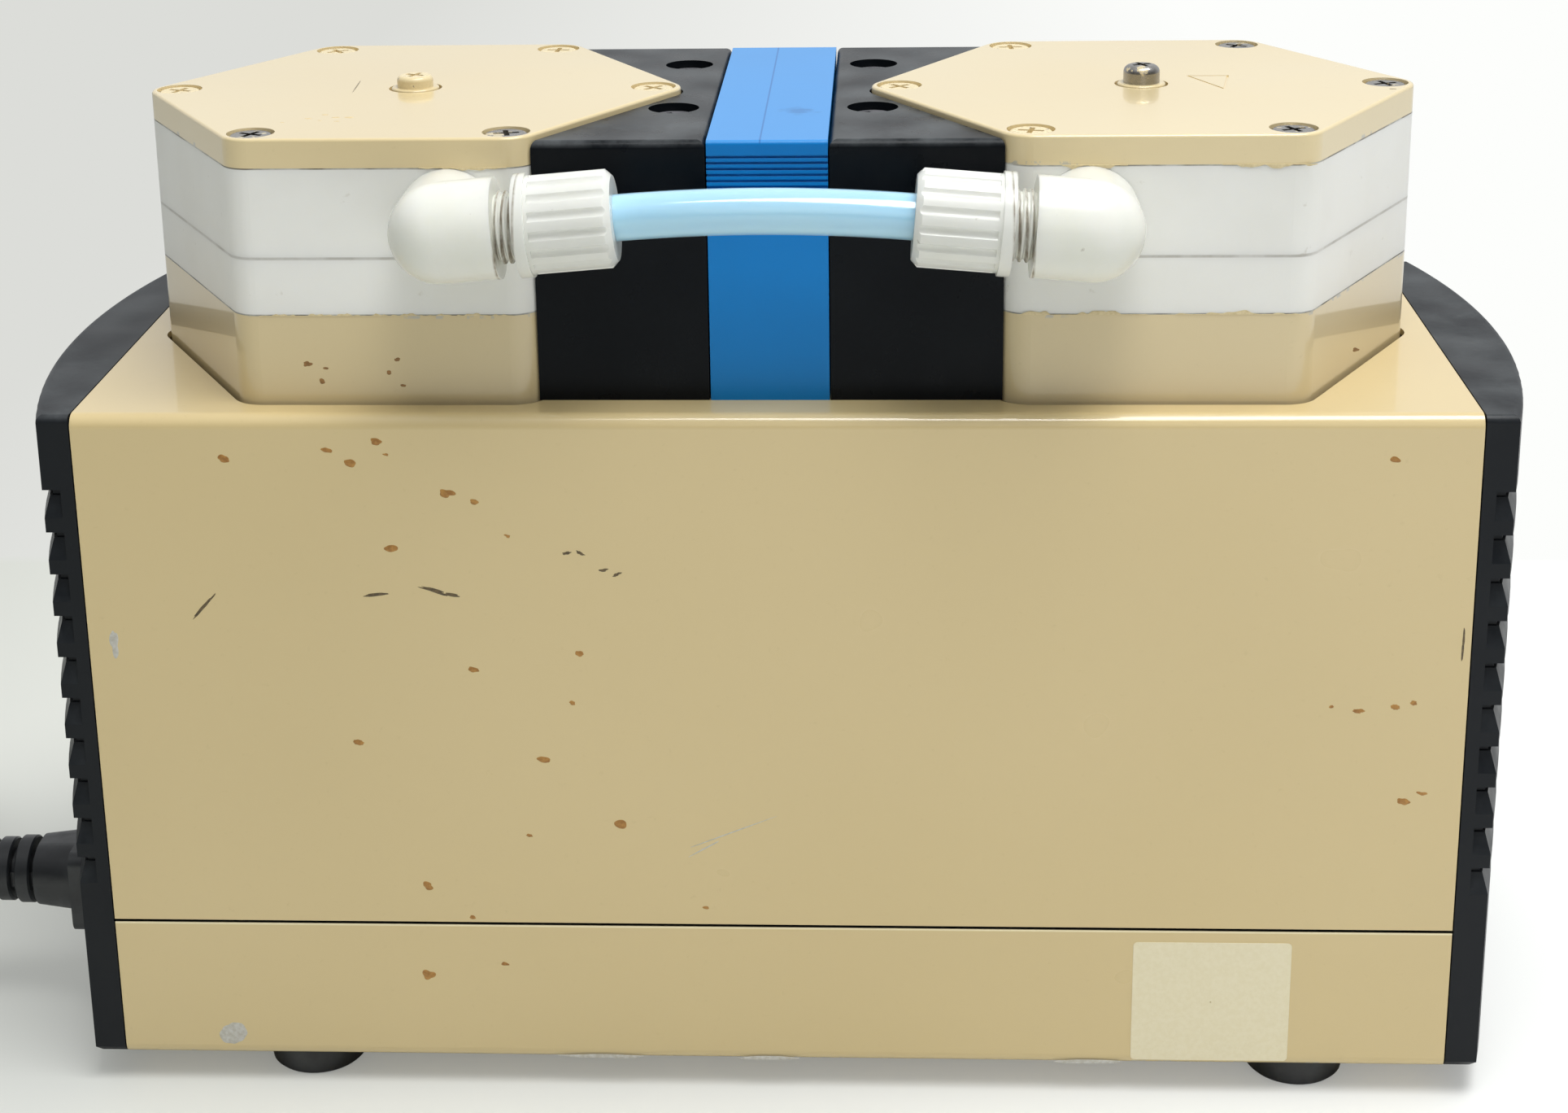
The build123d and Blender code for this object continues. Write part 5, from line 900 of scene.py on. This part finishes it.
# ======== setting ========
@dataclass
class Studio:
    """Camera, bench, room and lamps."""

    lens: float = 61.12
    heading: float = 2.821
    pitch: float = 16.51
    roll: float = -0.895
    place: tuple[float, float, float] = (25.4, -610.7, 348.6)
    shift: tuple[float, float] = (0.0155, -0.1473)
    wall_y: float = 0.27
    wall_blur: float = 0.004
    bench_reach: float = 3.0

    def camera(self) -> None:
        """Camera from its heading, pitch and roll in degrees, with a small lens shift."""
        data = bpy.data.cameras.new("camera")
        data.sensor_width = 36.0
        data.lens = self.lens
        data.shift_x, data.shift_y = self.shift
        data.clip_start = 0.01
        heading, pitch, roll = (math.radians(v) for v in (self.heading, self.pitch, self.roll))
        forward = Vector((-math.sin(heading) * math.cos(pitch), math.cos(heading) * math.cos(pitch),
                          -math.sin(pitch)))
        level = Vector((math.cos(heading), math.sin(heading), 0))
        above = level.cross(forward)
        right = math.cos(roll) * level + math.sin(roll) * above
        up = -math.sin(roll) * level + math.cos(roll) * above
        turn = Matrix((right, up, -forward)).transposed().to_4x4()
        camera = bpy.data.objects.new("camera", data)
        camera.matrix_world = Matrix.Translation(Vector(self.place) * MM) @ turn
        bpy.context.scene.collection.objects.link(camera)
        bpy.context.scene.camera = camera

    def bench(self) -> None:
        """Large pale board that takes the object's shadow, paler beyond the wall line, with painted light:
        darker to the left, brighter to the right; seen directly it glows with that colour, fully beyond the
        wall line and partly on the near side.
        """
        mesh = bpy.data.meshes.new("bench")
        reach = self.bench_reach
        corners = [(-reach, -reach, 0), (reach, -reach, 0), (reach, reach, 0), (-reach, reach, 0)]
        mesh.from_pydata(corners, [], [(0, 1, 2, 3)])
        board = bpy.data.objects.new("bench", mesh)
        bpy.context.scene.collection.objects.link(board)
        graph = Graph("bench_card")
        edge = (self.wall_y - self.wall_blur, self.wall_y + self.wall_blur)
        beyond = graph.ramp(graph.axis("Y"), *edge)
        # painted light: the board runs from darker on the left to brighter on the right
        bright = graph.ramp(graph.axis("X"), -0.35, 0.25)
        near = graph.mix(bright, srgb("#D2D4CC"), srgb("#FBFCFA"))
        far = graph.mix(bright, srgb("#DCDDD9"), srgb("#FDFEFC"))
        colour = graph.mix(beyond, near, far)
        lit = graph.add("BsdfDiffuse", {"Color": colour})
        plain = graph.add("Emission", {"Color": colour, "Strength": 1.0})
        seen = graph.add("LightPath").outputs["Is Camera Ray"]
        wall = graph.math("MULTIPLY", seen, graph.ramp(graph.axis("Y"), *edge, 0.3, 1.0))
        shader = graph.add("MixShader", {0: wall, 1: lit.outputs[0], 2: plain.outputs[0]})
        graph.add("OutputMaterial", {"Surface": shader.outputs[0]})
        mesh.materials.append(graph.material)

    def room(self) -> None:
        """Pale room, brightest overhead and behind the object, dimmer in front, plain where seen."""
        world = bpy.data.worlds.new("room")
        world.use_nodes = True
        graph = Graph("room_light", world.node_tree)
        heading = graph.add("SeparateXYZ", {0: graph.add("TexCoord").outputs["Generated"]})
        behind = graph.ramp(heading.outputs["Y"], -0.2, 0.6, 0.12, 0.75)
        above = graph.ramp(heading.outputs["Z"], 0.1, 0.9, 0.0, 0.75)
        seen = graph.add("LightPath").outputs["Is Camera Ray"]
        plain = graph.math("MULTIPLY", seen, 0.86)
        strength = graph.math("MAXIMUM", graph.math("MAXIMUM", behind, above), plain)
        light = graph.add("Background", {"Color": srgb("#F6F8FA"), "Strength": strength})
        graph.add("OutputWorld", {"Surface": light.outputs[0]})
        bpy.context.scene.world = world

    def lamp(self, name: str, place: tuple, target: tuple, size: tuple, power: float) -> None:
        """One soft rectangular lamp that points at a target."""
        data = bpy.data.lights.new(name, "AREA")
        data.shape = "RECTANGLE"
        data.size, data.size_y = size
        data.energy = power
        lamp = bpy.data.objects.new(name, data)
        lamp.location = place
        aim = Vector(target) - Vector(place)
        lamp.rotation_euler = aim.to_track_quat("-Z", "Y").to_euler()
        bpy.context.scene.collection.objects.link(lamp)

    def build(self) -> None:
        """Sets the world, bench, lamps and camera."""
        self.room()
        self.bench()
        self.lamp("overhead", (0.3, -0.28, 1.45), (0, -0.05, 0.1), (1.1, 0.5), 18)
        self.lamp("front_fill", (0.3, -1.8, 0.9), (0, 0, 0.1), (1.0, 0.8), 1.5)
        self.camera()
        bpy.context.scene.view_settings.view_transform = "Standard"


def main() -> None:
    """Builds every class in order."""
    logging.basicConfig(level=logging.INFO, format="%(message)s")
    for part in (PumpCase(), DriveTrain(), PumpHeads(), CentreCover(), MainsLead(), Studio()):
        part.build()


if __name__ == "__main__":
    main()
